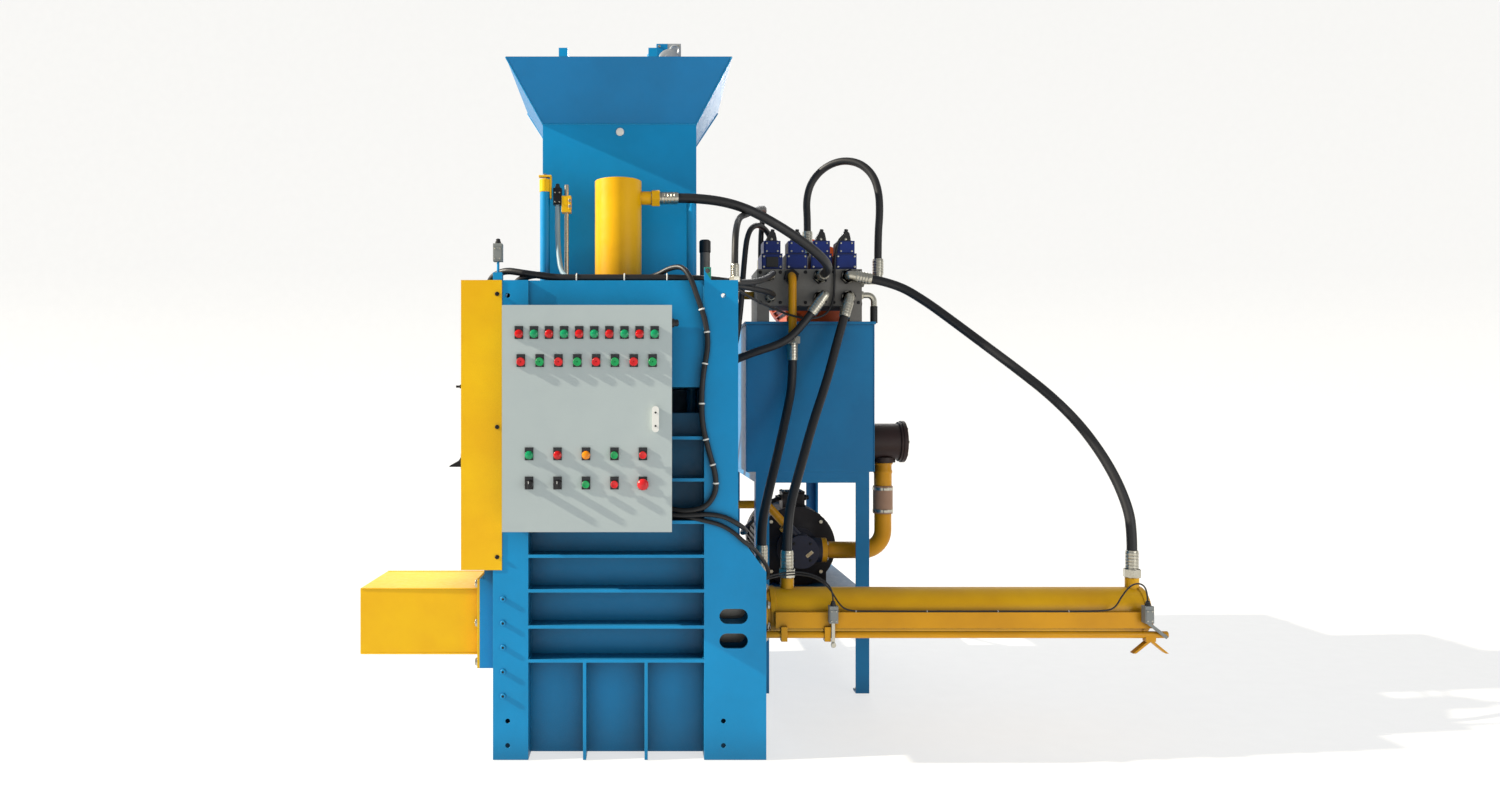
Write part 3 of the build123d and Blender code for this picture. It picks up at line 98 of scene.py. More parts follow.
def enamel(name, colour, shade, worn, rough=0.34, patch=320, peel=5, dust=0.10):
    """Sprayed alkyd enamel on sheet steel: tone drifts over patches, orange peel breaks up the gloss, edges are
    rubbed lighter, a little wood dust lies on what faces up, and painted shade darkens what is boxed in on several
    sides."""
    material, tree, shader, place = start(name, IOR=1.5, Specular_IOR_Level=0.3)
    drift = add(tree, "ShaderNodeTexNoise",
                {"Vector": place, "Scale": 1 / (patch * MM), "Detail": 4, "Roughness": 0.6})
    skin = add(tree, "ShaderNodeTexNoise", {"Vector": place, "Scale": 1 / (peel * MM), "Detail": 1})
    scuff = add(tree, "ShaderNodeTexNoise",
                {"Vector": place, "Scale": 1 / (22 * MM), "Detail": 5, "Roughness": 0.7})
    soft = add(tree, "ShaderNodeBevel", {"Radius": 2.5 * MM}, samples=4)
    facing = add(tree, "ShaderNodeNewGeometry")
    turn = add(tree, "ShaderNodeVectorMath", {0: soft.outputs["Normal"], 1: facing.outputs["Normal"]},
               operation="DOT_PRODUCT")
    rim = add(tree, "ShaderNodeMapRange",
              {"Value": turn.outputs["Value"], "From Min": 0.995, "From Max": 0.90, "To Max": 0.9})
    rubbed = add(tree, "ShaderNodeMath", {0: rim.outputs["Result"], 1: scuff.outputs["Fac"]}, operation="MULTIPLY")
    height = add(tree, "ShaderNodeSeparateXYZ", {"Vector": facing.outputs["Normal"]})
    lying = add(tree, "ShaderNodeMapRange",
                {"Value": height.outputs["Z"], "From Min": 0.6, "From Max": 1.0, "To Max": dust})
    settled = add(tree, "ShaderNodeMath", {0: lying.outputs["Result"], 1: scuff.outputs["Fac"]}, operation="MULTIPLY")
    tone = add(tree, "ShaderNodeMapRange", {"Value": drift.outputs["Fac"], "From Min": 0.35, "From Max": 0.65})
    paint = add(tree, "ShaderNodeMix", {0: tone.outputs["Result"], 6: linear(colour), 7: linear(shade)},
                data_type="RGBA")
    edged = add(tree, "ShaderNodeMix", {0: rubbed.outputs[0], 6: paint.outputs[2], 7: linear(worn)},
                data_type="RGBA")
    dusty = add(tree, "ShaderNodeMix", {0: settled.outputs[0], 6: edged.outputs[2], 7: linear(WOOD_DUST)},
                data_type="RGBA")
    # Painted shade: ambient occlusion blends the paint towards a dark tone of its shade colour where surfaces are
    # boxed in
    recess_occlusion = add(tree, "ShaderNodeAmbientOcclusion", {"Distance": 240 * MM}, samples=6)
    unshaded_share = add(tree, "ShaderNodeMapRange", {"Value": recess_occlusion.outputs["AO"], "From Min": 0.2, "From Max": 0.8})
    painted_recess_shade = tuple(0.3 * share for share in linear(shade)[:3]) + (1.0,)
    paint_and_recess_shade = add(tree, "ShaderNodeMix", {0: unshaded_share.outputs["Result"], 6: painted_recess_shade, 7: dusty.outputs[2]},
                 data_type="RGBA")
    gloss = add(tree, "ShaderNodeMapRange", {"Value": scuff.outputs["Fac"], "From Min": 0.3, "From Max": 0.7,
                                             "To Min": rough - 0.06, "To Max": rough + 0.12})
    bump = add(tree, "ShaderNodeBump", {"Height": skin.outputs["Fac"], "Strength": 0.10, "Distance": 0.6 * MM,
                                        "Normal": soft.outputs["Normal"]})
    finish_with(tree, shader, paint_and_recess_shade.outputs[2], gloss.outputs["Result"], bump.outputs["Normal"])
    return material


def metal(name, colour, shade, rough, stretch=(1, 1, 1), grain=2, shine=1.0):
    """Bare or plated metal: fine grain drawn out along one way by the stretch, and cloudy tarnish over it."""
    material, tree, shader, place = start(name, Metallic=shine)
    drawn = add(tree, "ShaderNodeMapping", {"Vector": place, "Scale": stretch})
    lines = add(tree, "ShaderNodeTexNoise",
                {"Vector": drawn.outputs["Vector"], "Scale": 1 / (grain * MM), "Detail": 3})
    cloud = add(tree, "ShaderNodeTexNoise",
                {"Vector": place, "Scale": 1 / (45 * MM), "Detail": 4, "Roughness": 0.65})
    soft = add(tree, "ShaderNodeBevel", {"Radius": 0.8 * MM}, samples=4)
    mixed = add(tree, "ShaderNodeMix", {0: cloud.outputs["Fac"], 6: linear(colour), 7: linear(shade)},
                data_type="RGBA")
    gloss = add(tree, "ShaderNodeMapRange", {"Value": lines.outputs["Fac"], "From Min": 0.3, "From Max": 0.7,
                                             "To Min": rough * 0.75, "To Max": rough * 1.3})
    bump = add(tree, "ShaderNodeBump", {"Height": lines.outputs["Fac"], "Strength": 0.12, "Distance": 0.2 * MM,
                                        "Normal": soft.outputs["Normal"]})
    finish_with(tree, shader, mixed.outputs[2], gloss.outputs["Result"], bump.outputs["Normal"])
    return material


def moulded(name, colour, shade, rough, grain=1.5, bite=0.2, **sockets):
    """Moulded plastic, rubber or powder coat: a fine even grain in the surface and slight clouds in the tone."""
    material, tree, shader, place = start(name, IOR=1.5, **sockets)
    pits = add(tree, "ShaderNodeTexNoise", {"Vector": place, "Scale": 1 / (grain * MM), "Detail": 2})
    cloud = add(tree, "ShaderNodeTexNoise", {"Vector": place, "Scale": 1 / (90 * MM), "Detail": 4})
    soft = add(tree, "ShaderNodeBevel", {"Radius": 1.0 * MM}, samples=4)
    mixed = add(tree, "ShaderNodeMix", {0: cloud.outputs["Fac"], 6: linear(colour), 7: linear(shade)},
                data_type="RGBA")
    gloss = add(tree, "ShaderNodeMapRange", {"Value": cloud.outputs["Fac"], "From Min": 0.3, "From Max": 0.7,
                                             "To Min": rough - 0.04, "To Max": rough + 0.10})
    bump = add(tree, "ShaderNodeBump", {"Height": pits.outputs["Fac"], "Strength": bite, "Distance": 0.3 * MM,
                                        "Normal": soft.outputs["Normal"]})
    finish_with(tree, shader, mixed.outputs[2], gloss.outputs["Result"], bump.outputs["Normal"])
    return material


azure_enamel = enamel("azure_enamel", "#008FCB", "#0086BE", "#4FB4DE")
# The hopper's paint is the frame's azure made darker: painted shade for its downward-facing front
hopper_enamel_painted_shade = enamel("hopper_enamel_painted_shade", "#007AB6", "#0072AA", "#4FA4D0")
golden_enamel = enamel("golden_enamel", "#F2C000", "#EAB200", "#F8DC7A")
barrel_enamel = enamel("barrel_enamel", "#ECB200", "#DEA200", "#F0CE70")
# The pipe paint is the golden enamel made darker: painted shade for the rail, trip rod and pipes that sit low in
# shadow
pipe_enamel_painted_shade = enamel("pipe_enamel_painted_shade", "#DA9A00", "#CA8C00", "#E8C060")
# The tank's paint is the frame's azure made darker: painted shade for the tank standing in the frame's shadow
tank_enamel_painted_shade = enamel("tank_enamel_painted_shade", "#0074A8", "#006A9C", "#3F8CB6", rough=0.4)
valve_enamel = enamel("valve_enamel", "#16307E", "#102565", "#4A62A8", rough=0.38)
orange_enamel = enamel("orange_enamel", "#E45A0C", "#D24E08", "#F08A4C")
dark_enamel = enamel("dark_enamel", "#272024", "#1E181B", "#544C50", rough=0.42)
pump_enamel = enamel("pump_enamel", "#23273A", "#1B1E2E", "#565A6C", rough=0.42)
lug_enamel = enamel("lug_enamel", "#2C8F7C", "#24806E", "#7CC0B0")
filter_enamel = enamel("filter_enamel", "#33211F", "#281A19", "#5E4844", rough=0.42)
grey_powder_coat = moulded("grey_powder_coat", "#B2BEBE", "#AAB6B8", 0.46, grain=2.2, bite=0.15)
hard_chrome = metal("hard_chrome", "#D8D8DA", "#C2C3C8", 0.10, stretch=(1, 1, 0.2))
worn_steel = metal("worn_steel", "#8A8A88", "#6A6864", 0.38, stretch=(0.2, 1, 1))
zinc_plate = metal("zinc_plate", "#C9C7BC", "#AFA998", 0.28)
black_oxide = metal("black_oxide", "#2A2A2C", "#1B1B1D", 0.42, shine=0.7)
cast_block = metal("cast_block", "#74726E", "#64625E", 0.55, grain=3, shine=0.35)
cast_aluminium = metal("cast_aluminium", "#C4C7C9", "#A9ADB0", 0.44, grain=3, shine=0.55)
hose_rubber = moulded("hose_rubber", "#17171A", "#101012", 0.46, grain=1.6, bite=0.35)
sleeve_rubber = moulded("sleeve_rubber", "#A6826A", "#8E6E58", 0.55, grain=2.5, bite=0.4)
black_abs = moulded("black_abs", "#1A1A1C", "#121214", 0.36)
switch_casting = moulded("switch_casting", "#8C908E", "#767A79", 0.42, grain=2.0)
lead_pvc = moulded("lead_pvc", "#8FA6B2", "#7C949F", 0.42)
white_abs = moulded("white_abs", "#E8E8E4", "#DCDCD6", 0.34)
red_cap = moulded("red_cap", "#D81E22", "#C4161B", 0.24)
green_cap = moulded("green_cap", "#12A058", "#0C8C4A", 0.24)
red_lens = moulded("red_lens", "#C80608", "#B40406", 0.14, bite=0.05)
green_lens = moulded("green_lens", "#009A62", "#008854", 0.14, bite=0.05)
amber_lens = moulded("amber_lens", "#F29200", "#E48400", 0.14, bite=0.05)
legend_plate = metal("legend_plate", "#3C3E42", "#333538", 0.35, shine=0.6)

node_finishes = {
    azure_enamel: ("left_column", "right_column", "front_wall", "rear_wall", "head_box", "feed_chute",
                   "agitator_bars", "gate_plate", "switch_stand"),
    hopper_enamel_painted_shade: ("feed_hopper",),
    golden_enamel: ("gate_guard", "outlet_duct"),
    barrel_enamel: ("press_cylinder", "ejector_cylinder", "gate_cylinder", "feed_cylinder"),
    pipe_enamel_painted_shade: ("switch_rail", "trip_rod", "oil_pipes"),
    tank_enamel_painted_shade: ("oil_tank", "tank_stand"),
    valve_enamel: ("solenoid_valves",),
    orange_enamel: ("upper_motor",),
    dark_enamel: ("pump_motor",),
    pump_enamel: ("hydraulic_pumps",),
    filter_enamel: ("suction_filter",),
    grey_powder_coat: ("control_box", "box_door"),
    cast_block: ("valve_manifold",),
    cast_aluminium: ("agitator_gearmotor",),
    hard_chrome: ("ram_rods",),
    worn_steel: ("chamber_liner", "press_platen", "ejector_ram", "feed_pusher", "agitator_shaft"),
    zinc_plate: ("hose_fittings", "flange_bolts"),
    sleeve_rubber: ("suction_sleeve",),
    hose_rubber: ("hose_bundle",),
    switch_casting: ("limit_switches", "control_gear"),
    black_abs: ("control_bezels", "selector_left", "selector_right"),
    red_cap: ("red_button_upper", "red_button_lower", "e_stop"),
    green_cap: ("green_button_upper", "green_button_lower"),
    white_abs: ("door_handle",),
    red_lens: ("pilot_lamps",),
}
for finish, names in node_finishes.items():
    for name in names:
        nodes[name].data.materials.clear()
        nodes[name].data.materials.append(finish)


def repaint(name, finish, wanted):
    """Gives a second finish to those faces of a node whose centre the test wants."""
    mesh = nodes[name].data
    mesh.materials.append(finish)
    for face in mesh.polygons:
        face.material_index = int(wanted(face.center))


# The lifting lug is green, the stand's rod is bright, its switch is dark and the lead that drops from it is grey
repaint("right_column", lug_enamel, lambda at: at.z > 1.7905)
repaint("limit_switches", black_oxide, lambda at: at.z > 2.0)
repaint("switch_stand", zinc_plate, lambda at: at.x > -0.3)
repaint("hose_bundle", lead_pvc, lambda at: at.z > 1.83 and -0.3 < at.x < -0.15 and at.y > -0.1)


# Surfaces
def grid_faces(rows, columns):
    """Quads of a grid of points, rows by columns, whose last column joins the first."""
    i, j = np.meshgrid(np.arange(rows - 1), np.arange(columns), indexing="ij")
    k = (j + 1) % columns
    quads = np.stack((i * columns + j, i * columns + k, (i + 1) * columns + k, (i + 1) * columns + j), -1)
    return quads.reshape(-1, 4)


def across(axis):
    """Unit vectors u, v and w, with w along the axis and u turning to v about it."""
    w = np.asarray(axis, float) / np.linalg.norm(axis)
    u = np.cross(UP if abs(w[2]) < 0.9 else BACK, w)
    u /= np.linalg.norm(u)
    return u, np.cross(w, u), w


def turned(profile, at, axis, steps=20, phase=0.0):
    """Turned piece: the profile's point (r, h) goes to at + h w + r (cos t u + sin t v), between two flat ends.
    Six steps give a hexagon."""
    r, h = np.asarray(profile, float).T
    u, v, w = across(axis)
    t = phase + 2 * np.pi * np.arange(steps) / steps
    ring = np.cos(t)[:, None] * u + np.sin(t)[:, None] * v
    points = np.asarray(at, float) + h[:, None, None] * w + r[:, None, None] * ring
    ends = [np.arange(steps)[::-1].tolist(), np.arange((len(r) - 1) * steps, len(r) * steps).tolist()]
    return points.reshape(-1, 3), grid_faces(len(r), steps).tolist() + ends


def piped(path, radius, steps=10, level=UP):
    """Round bar: a circle of the radius, in the plane of the path's lift and side, carried along the path."""
    path = np.asarray(path, float)
    way = np.gradient(path, axis=0)
    way /= np.linalg.norm(way, axis=1)[:, None]
    side = np.cross(way, level)
    side /= np.linalg.norm(side, axis=1)[:, None]
    lift = np.cross(side, way)
    t = 2 * np.pi * np.arange(steps) / steps
    ring = np.cos(t)[:, None] * lift[:, None] + np.sin(t)[:, None] * side[:, None]
    points = path[:, None] + np.broadcast_to(radius, len(path))[:, None, None] * ring
    ends = [np.arange(steps)[::-1].tolist(), np.arange((len(path) - 1) * steps, len(path) * steps).tolist()]
    return points.reshape(-1, 3), grid_faces(len(path), steps).tolist() + ends


def cut_corners(edge):
    """Corners of a unit box, and the steps by which each corner's three points come in from it."""
    corners = np.array(np.meshgrid((0, 1), (0, 1), (0, 1), indexing="ij")).reshape(3, -1).T
    return corners, edge * (1 - 2 * corners)[:, None] * (1 - np.eye(3))


def cut_box_faces():
    """Faces of a box with cut edges, from 8 corners with 3 points each: sides, then edges, then corners."""
    corners, steps = cut_corners(0.2)
    sample = (corners[:, None] + steps).reshape(-1, 3)
    faces = []
    for a in range(3):
        b, c = (a + 1) % 3, (a + 2) % 3
        for side in (0, 1):
            loop = [n for p, q in ((0, 0), (1, 0), (1, 1), (0, 1))
                    for n in range(8) if corners[n][a] == side and corners[n][b] == p and corners[n][c] == q]
            faces.append([3 * n + a for n in loop])
            for p in (0, 1):
                pair = [n for n in range(8) if corners[n][b] == side and corners[n][c] == p]
                faces.append([3 * pair[0] + b, 3 * pair[0] + c, 3 * pair[1] + c, 3 * pair[1] + b])
    faces += [[3 * n, 3 * n + 1, 3 * n + 2] for n in range(8)]
    for face in faces:
        spots = sample[face]
        if np.dot(np.cross(spots[1] - spots[0], spots[2] - spots[0]), spots.mean(0) - 0.5) < 0:
            face.reverse()
    return faces


CUT_BOX = cut_box_faces()


def block(low, high, edge=1.5):
    """Box with cut edges: each corner's three points keep one side's place and come in by the edge on the others."""
    low, high = np.asarray(low, float), np.asarray(high, float)
    corners, steps = cut_corners(edge)
    return ((low + corners * (high - low))[:, None] + steps).reshape(-1, 3), CUT_BOX


def slab(outline, low, high):
    """Flat piece: an outline of (x, z) points, anticlockwise seen from the front, carried from y low to y high."""
    x, z = np.asarray(outline, float).T
    n = len(x)
    points = np.r_[np.c_[x, np.full(n, low), z], np.c_[x, np.full(n, high), z]]
    sides = [[(i + 1) % n, i, i + n, (i + 1) % n + n] for i in range(n)]
    return points, [list(range(n)), list(range(2 * n))[:n - 1:-1], *sides]


def tilt(shape, at, axis, degrees):
    """The shape turned about an axis through a point."""
    points, faces = shape
    w = across(axis)[2]
    rest = points - np.asarray(at, float)
    turn = math.radians(degrees)
    spun = rest * math.cos(turn) + np.cross(w, rest) * math.sin(turn) + (rest @ w)[:, None] * w * (1 - math.cos(turn))
    return spun + np.asarray(at, float), faces


def put(name, groups, body="frame", stands_for=()):
    """One piece from (finish, surfaces) groups in millimetres, set at the origin and riding on a body."""
    points, faces, picks, count = [], [], [], 0
    mesh = bpy.data.meshes.new(name)
    for pick, (finish, shapes) in enumerate(groups):
        mesh.materials.append(finish)
        for spots, polygons in shapes:
            points.append(spots)
            faces += [[n + count for n in polygon] for polygon in polygons]
            picks += [pick] * len(polygons)
            count += len(spots)
    mesh.from_pydata((np.concatenate(points) * MM).tolist(), [], faces)
    mesh.polygons.foreach_set("material_index", picks)
    mesh.shade_smooth()
    mesh.set_sharp_from_angle(angle=math.radians(32))
    piece = bpy.data.objects.new(name, mesh)
    bpy.context.scene.collection.objects.link(piece)
    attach(piece, body)
    if stands_for:
        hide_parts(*stands_for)


# Hoses in metres: radius, length and route
hoses = {
    "press_hose": (0.020, 0.966, [
        (0.242, 0, 2.161), (0.352, 0, 2.161), (0.505, 0.028, 2.134), (0.645, 0.080, 2.074),
        (0.770, 0.140, 2.008), (0.860, 0.212, 1.955), (0.904, 0.292, 1.927), (0.9148, 0.393, 1.91872),
        (0.9148, 0.457, 1.91872)]),
    "eject_cap_hose": (0.020, 1.662, [
        (1.13685, 0.49705, 1.89883), (1.24404, 0.48600, 1.87673), (1.362, 0.440, 1.795), (1.475, 0.385, 1.695),
        (1.590, 0.325, 1.590), (1.710, 0.260, 1.480), (1.835, 0.195, 1.360), (1.940, 0.130, 1.225),
        (2.025, 0.065, 1.060), (2.068, 0.012, 0.905), (2.075, 0, 0.802), (2.075, 0, 0.738)]),
    "eject_rod_hose": (0.020, 1.174, [
        (1.01060, 0.48715, 1.72729), (0.97752, 0.46509, 1.62473), (0.915, 0.400, 1.430), (0.835, 0.280, 1.255),
        (0.757, 0.142, 1.060), (0.700, 0.035, 0.925), (0.682, 0, 0.802), (0.682, 0, 0.738)]),
    "feed_hose": (0.018, 1.714, [
        (0.8554, 0.447, 1.7404), (0.7894, 0.447, 1.6524), (0.715, 0.442, 1.600), (0.600, 0.448, 1.565),
        (0.485, 0.480, 1.520), (0.408, 0.570, 1.455), (0.375, 0.690, 1.380), (0.360, 0.830, 1.290),
        (0.310, 0.980, 1.190), (0.225, 1.130, 1.130), (0.115, 1.240, 1.090), (0.035, 1.300, 1.020),
        (0, 1.318, 0.9115), (0, 1.318, 0.8475)]),
    "loop_hose": (0.018, 1.010, [
        (0.905, 0.8605, 2.178), (0.905, 0.8605, 2.242), (0.900, 0.863, 2.335), (0.921, 0.850, 2.420),
        (0.979, 0.818, 2.484), (1.057, 0.773, 2.508), (1.134, 0.729, 2.484), (1.190, 0.697, 2.420),
        (1.214, 0.684, 2.335), (1.218, 0.681, 2.240), (1.210, 0.685, 2.12772), (1.210, 0.685, 2.01772)]),
    "pusher_hose": (0.020, 0.917, [
        (0.77956, 0.507, 1.532), (0.77956, 0.507, 1.422), (0.745, 0.465, 1.280), (0.695, 0.370, 1.115),
        (0.645, 0.260, 0.975), (0.609, 0.174, 0.870), (0.597, 0.150, 0.803), (0.597, 0.150, 0.739)]),
    "gate_hose": (0.013, None, [
        (0.449, -0.240, 1.8602), (0.449, -0.240, 1.9242), (0.458, -0.190, 2.005), (0.485, -0.040, 2.078),
        (0.535, 0.130, 2.122), (0.604, 0.360, 2.190), (0.655, 0.560, 2.236), (0.668, 0.655, 2.238),
        (0.669, 0.728, 2.205), (0.665, 0.765, 2.1342), (0.665, 0.765, 2.0242)]),
    "feed_return_hose": (0.013, None, [
        (0.720, 0.765, 2.0242), (0.720, 0.765, 2.0882), (0.708, 0.748, 2.138), (0.675, 0.703, 2.168),
        (0.636, 0.650, 2.175), (0.600, 0.601, 2.150), (0.578, 0.571, 2.095), (0.568, 0.556, 2.018),
        (0.558, 0.540, 1.920), (0.548, 0.530, 1.780), (0.530, 0.555, 1.620), (0.490, 0.640, 1.450),
        (0.430, 0.800, 1.290), (0.350, 1.020, 1.160), (0.230, 1.290, 1.090), (0.110, 1.550, 1.070),
        (0.035, 1.730, 1.040), (0.005, 1.828, 0.960), (0, 1.848, 0.8737), (0, 1.848, 0.8097)]),
}


def lay_hose(name, radius, route, finish, stands_for=()):
    """A hose on one smooth line: a NURBS spline with the route's points as its control points."""
    curve = bpy.data.curves.new(name + "_line", "CURVE")
    curve.dimensions = "3D"
    spline = curve.splines.new("NURBS")
    spline.points.add(len(route) - 1)
    spline.points.foreach_set("co", np.c_[np.array(route, float), np.ones(len(route))].ravel())
    spline.order_u = 3
    spline.use_endpoint_u = True
    spline.resolution_u = 10
    curve.bevel_depth = radius
    curve.bevel_resolution = 4
    curve.use_fill_caps = True
    curve.materials.append(finish)
    hose = bpy.data.objects.new(name + "_line", curve)
    bpy.context.scene.collection.objects.link(hose)
    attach(hose, "frame")
    if stands_for:
        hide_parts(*stands_for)


for name, (radius, length, route) in hoses.items():
    lay_hose(name, radius, route, hose_rubber, stands_for=(name,))

# Cables and leads that the photograph shows: from the box over the right column, along the switch rail, to the valves
leads = {
    "motor_cable": (0.009, [
        (0.160, -0.285, 0.911), (0.230, -0.296, 0.910), (0.300, -0.321, 0.915), (0.345, -0.3215, 0.918),
        (0.405, -0.3215, 0.908), (0.452, -0.321, 0.882), (0.480, -0.305, 0.862), (0.495, -0.220, 0.840),
        (0.500, -0.050, 0.815), (0.515, 0.150, 0.790), (0.540, 0.400, 0.765), (0.575, 0.600, 0.760),
        (0.625, 0.750, 0.775), (0.700, 0.870, 0.825), (0.762, 0.950, 0.866), (0.786, 0.965, 0.868)]),
    "switch_trunk": (0.008, [
        (0.160, -0.255, 0.903), (0.230, -0.270, 0.9025), (0.285, -0.305, 0.902), (0.335, -0.320, 0.892),
        (0.390, -0.319, 0.878), (0.440, -0.320, 0.848), (0.475, -0.324, 0.815), (0.512, -0.312, 0.790),
        (0.540, -0.255, 0.755), (0.580, -0.190, 0.700), (0.588, -0.150, 0.665), (0.571, -0.132, 0.645)]),
    "far_switch_lead": (0.0032, [
        (2.070, -0.137, 0.541), (2.070, -0.137, 0.592), (2.050, -0.137, 0.628), (2.010, -0.136, 0.626),
        (1.975, -0.132, 0.585), (1.950, -0.124, 0.530), (1.910, -0.117, 0.5155), (1.700, -0.117, 0.5155),
        (1.300, -0.117, 0.5155), (1.000, -0.117, 0.5155), (0.900, -0.117, 0.517), (0.868, -0.112, 0.545),
        (0.838, -0.100, 0.600), (0.790, -0.085, 0.640), (0.720, -0.075, 0.655), (0.640, -0.090, 0.650),
        (0.592, -0.115, 0.642), (0.573, -0.122, 0.640)]),
    "near_switch_lead": (0.0032, [
        (0.842, -0.137, 0.541), (0.842, -0.137, 0.585), (0.828, -0.128, 0.622), (0.780, -0.105, 0.655),
        (0.710, -0.092, 0.668), (0.635, -0.105, 0.662), (0.590, -0.128, 0.652), (0.573, -0.140, 0.648)]),
    "valve_lead": (0.005, [
        (0.458, -0.200, 1.772), (0.500, -0.080, 1.765), (0.580, 0.120, 1.755), (0.670, 0.300, 1.745),
        (0.735, 0.420, 1.735), (0.785, 0.465, 1.727), (0.840, 0.495, 1.720), (0.895, 0.522, 1.725),
        (0.945, 0.538, 1.748), (0.975, 0.548, 1.810), (0.979, 0.552, 1.900), (0.981, 0.556, 2.000),
        (0.995, 0.562, 2.080), (1.020, 0.566, 2.108), (1.030, 0.578, 2.112)]),
}
for name, (radius, route) in leads.items():
    lay_hose(name, radius, route, hose_rubber)


# Floor and light
floor_mesh = bpy.data.meshes.new("floor")
reach, sweep, ground = 40.0, 3.0, -0.002
rise = np.linspace(0, math.pi / 2, 12)
sweep_y = np.r_[-reach, 5 + sweep * np.sin(rise), 8]
sweep_z = np.r_[ground, ground + sweep * (1 - np.cos(rise)), 9]
floor_points = np.concatenate([np.c_[np.full(len(sweep_y), x), sweep_y, sweep_z] for x in (-reach, reach)])
floor_count = len(sweep_y)
floor_faces = [[n, n + floor_count, n + floor_count + 1, n + 1] for n in range(floor_count - 1)]
floor_mesh.from_pydata(floor_points.tolist(), [], floor_faces)
floor_mesh.shade_smooth()
floor_mesh.materials.append(moulded("studio_paper", "#8E8E8C", "#8A8A88", 0.9, grain=4, bite=0.02,
                                  Emission_Color=(1, 1, 1, 1), Emission_Strength=0.68))
floor = bpy.data.objects.new("floor", floor_mesh)
bpy.context.scene.collection.objects.link(floor)

world = bpy.data.worlds.new("studio")
world.use_nodes = True
world.node_tree.nodes["Background"].inputs["Color"].default_value = linear("#F4F7FA")
world.node_tree.nodes["Background"].inputs["Strength"].default_value = 0.42
bpy.context.scene.world = world
bpy.context.scene.view_settings.view_transform = "Standard"


def lamp(name, kind, at, aim, spread, strength, colour="#FFFFFF"):
    """A light at a place, aimed at a point; the spread is a sun's angle or a square light's side."""
    data = bpy.data.lights.new(name, kind)
    setattr(data, "angle" if kind == "SUN" else "size", spread)
    data.energy = strength
    data.color = linear(colour)[:3]
    light = bpy.data.objects.new(name, data)
    light.location = at
    way = np.array(aim, float) - np.array(at, float)
    light.rotation_euler = (math.acos(-way[2] / np.linalg.norm(way)), 0, math.atan2(way[1], way[0]) - math.pi / 2)
    bpy.context.scene.collection.objects.link(light)


# The sun stands far to the left, so that shadows run long over the front, and fall 30 degrees to the right
lamp("sun", "SUN", (-8.7, -1.0, 5.1), (0, 0, 0), math.radians(0.7), 7.0, "#FFF6E4")
lamp("fill", "AREA", (4.2, -3.6, 1.6), (1.5, 0, 0.5), 2.0, 45)
lamp("rear", "AREA", (1.0, 5.0, 4.6), (0.2, 0.6, 1.2), 2.5, 110)


# Places in rings and rows, in millimetres like all pieces below
def around(centre, axis, radius, degrees):
    """Places on a circle about an axis: centre + radius (cos t u + sin t v) for each angle t."""
    u, v = across(axis)[:2]
    turns = np.radians(np.asarray(degrees, float))[:, None]
    return np.asarray(centre, float) + radius * (np.cos(turns) * u + np.sin(turns) * v)


DIAGONALS = (45, 135, 225, 315)
SIDES = (-1, 1)


# Control panel: rows of places (x, z), each with the finish of its lens or cap
bezel_y, cap_y, mushroom_y = -515, -520.5, -521.5
lamp_level, jog_level, key_level, low_level = 1574, 1475, 1146, 1043
key_xs = [-302 + 100.4 * n for n in range(5)]
lamp_row = [(-338 + 53.2 * n, lamp_level, (red_lens, green_lens)[n % 2]) for n in range(10)]
lamp_row += [(x, key_level, lens) for x, lens in zip(key_xs, (green_lens, red_lens, amber_lens))]
jog_row = [(-331 + 66.4 * n, jog_level, (red_cap, green_cap)[n % 2]) for n in range(8)]
key_row = [(x, key_level) for x in key_xs[3:]] + [(x, low_level) for x in key_xs]
lens_profile = [(15, 0), (15, 2.5), (13.2, 3.2), (13.2, 6.5), (12.4, 8.6), (10.2, 10.2), (6.5, 11.2), (2, 11.6)]
jog_profile = [(15.2, 0), (15.2, 3.5), (13.8, 4), (13.8, 8.6), (13, 9.6), (9, 9.2), (2, 9.0)]
for name, profile, row, finishes, stands_for in (
        ("pilot_lenses", lens_profile, lamp_row, (red_lens, green_lens, amber_lens), ("pilot_lamps",)),
        ("jog_caps", jog_profile, jog_row, (red_cap, green_cap), ())):
    put(name, [(finish, [turned(profile, (x, bezel_y, z), NEAR) for x, z, own in row if own == finish])
               for finish in finishes], "door", stands_for)
# The stop mushroom has no legend plate, since its cap needs the room when it is pressed
legend_spots = [(x, z) for x, z, own in lamp_row + jog_row] + key_row[:-1]
put("legend_plates", [(legend_plate, [block((x - 13, bezel_y - 1, z + 15), (x + 13, bezel_y + 0.5, z + 25.5), 0.6)
                                      for x, z in legend_spots])], "door")
put("key_collars", [(black_abs, [turned([(14.6, -0.5), (14.6, 1.2), (13.8, 1.8)], (x, bezel_y, z), NEAR)
                                 for x, z in key_row])], "door")

push_profile = [(13, 0), (13.2, 1), (13.2, 6.6), (12.4, 8.4), (11, 9), (9.5, 8.4), (2, 8.2)]
dome_profile = [(18, 0), (20, 1.5), (20.3, 5.5), (19, 9.8), (15.6, 13.2), (9, 15.4), (2, 16)]
for node, body, x, z, finish, profile, seat in (
        ("green_button_upper", "upper_green", key_xs[3], key_level, green_cap, push_profile, cap_y),
        ("red_button_upper", "upper_red", key_xs[4], key_level, red_cap, push_profile, cap_y),
        ("green_button_lower", "lower_green", key_xs[2], low_level, green_cap, push_profile, cap_y),
        ("red_button_lower", "lower_red", key_xs[3], low_level, red_cap, push_profile, cap_y),
        ("e_stop", "stop_button", key_xs[4], low_level, red_cap, dome_profile, mushroom_y)):
    stem = turned([(5, -14), (5, 0.5)], (x, seat, z), NEAR, 12)
    put(node + "_cap", [(finish, [turned(profile, (x, seat, z), NEAR, 28)]), (black_abs, [stem])], body, (node,))
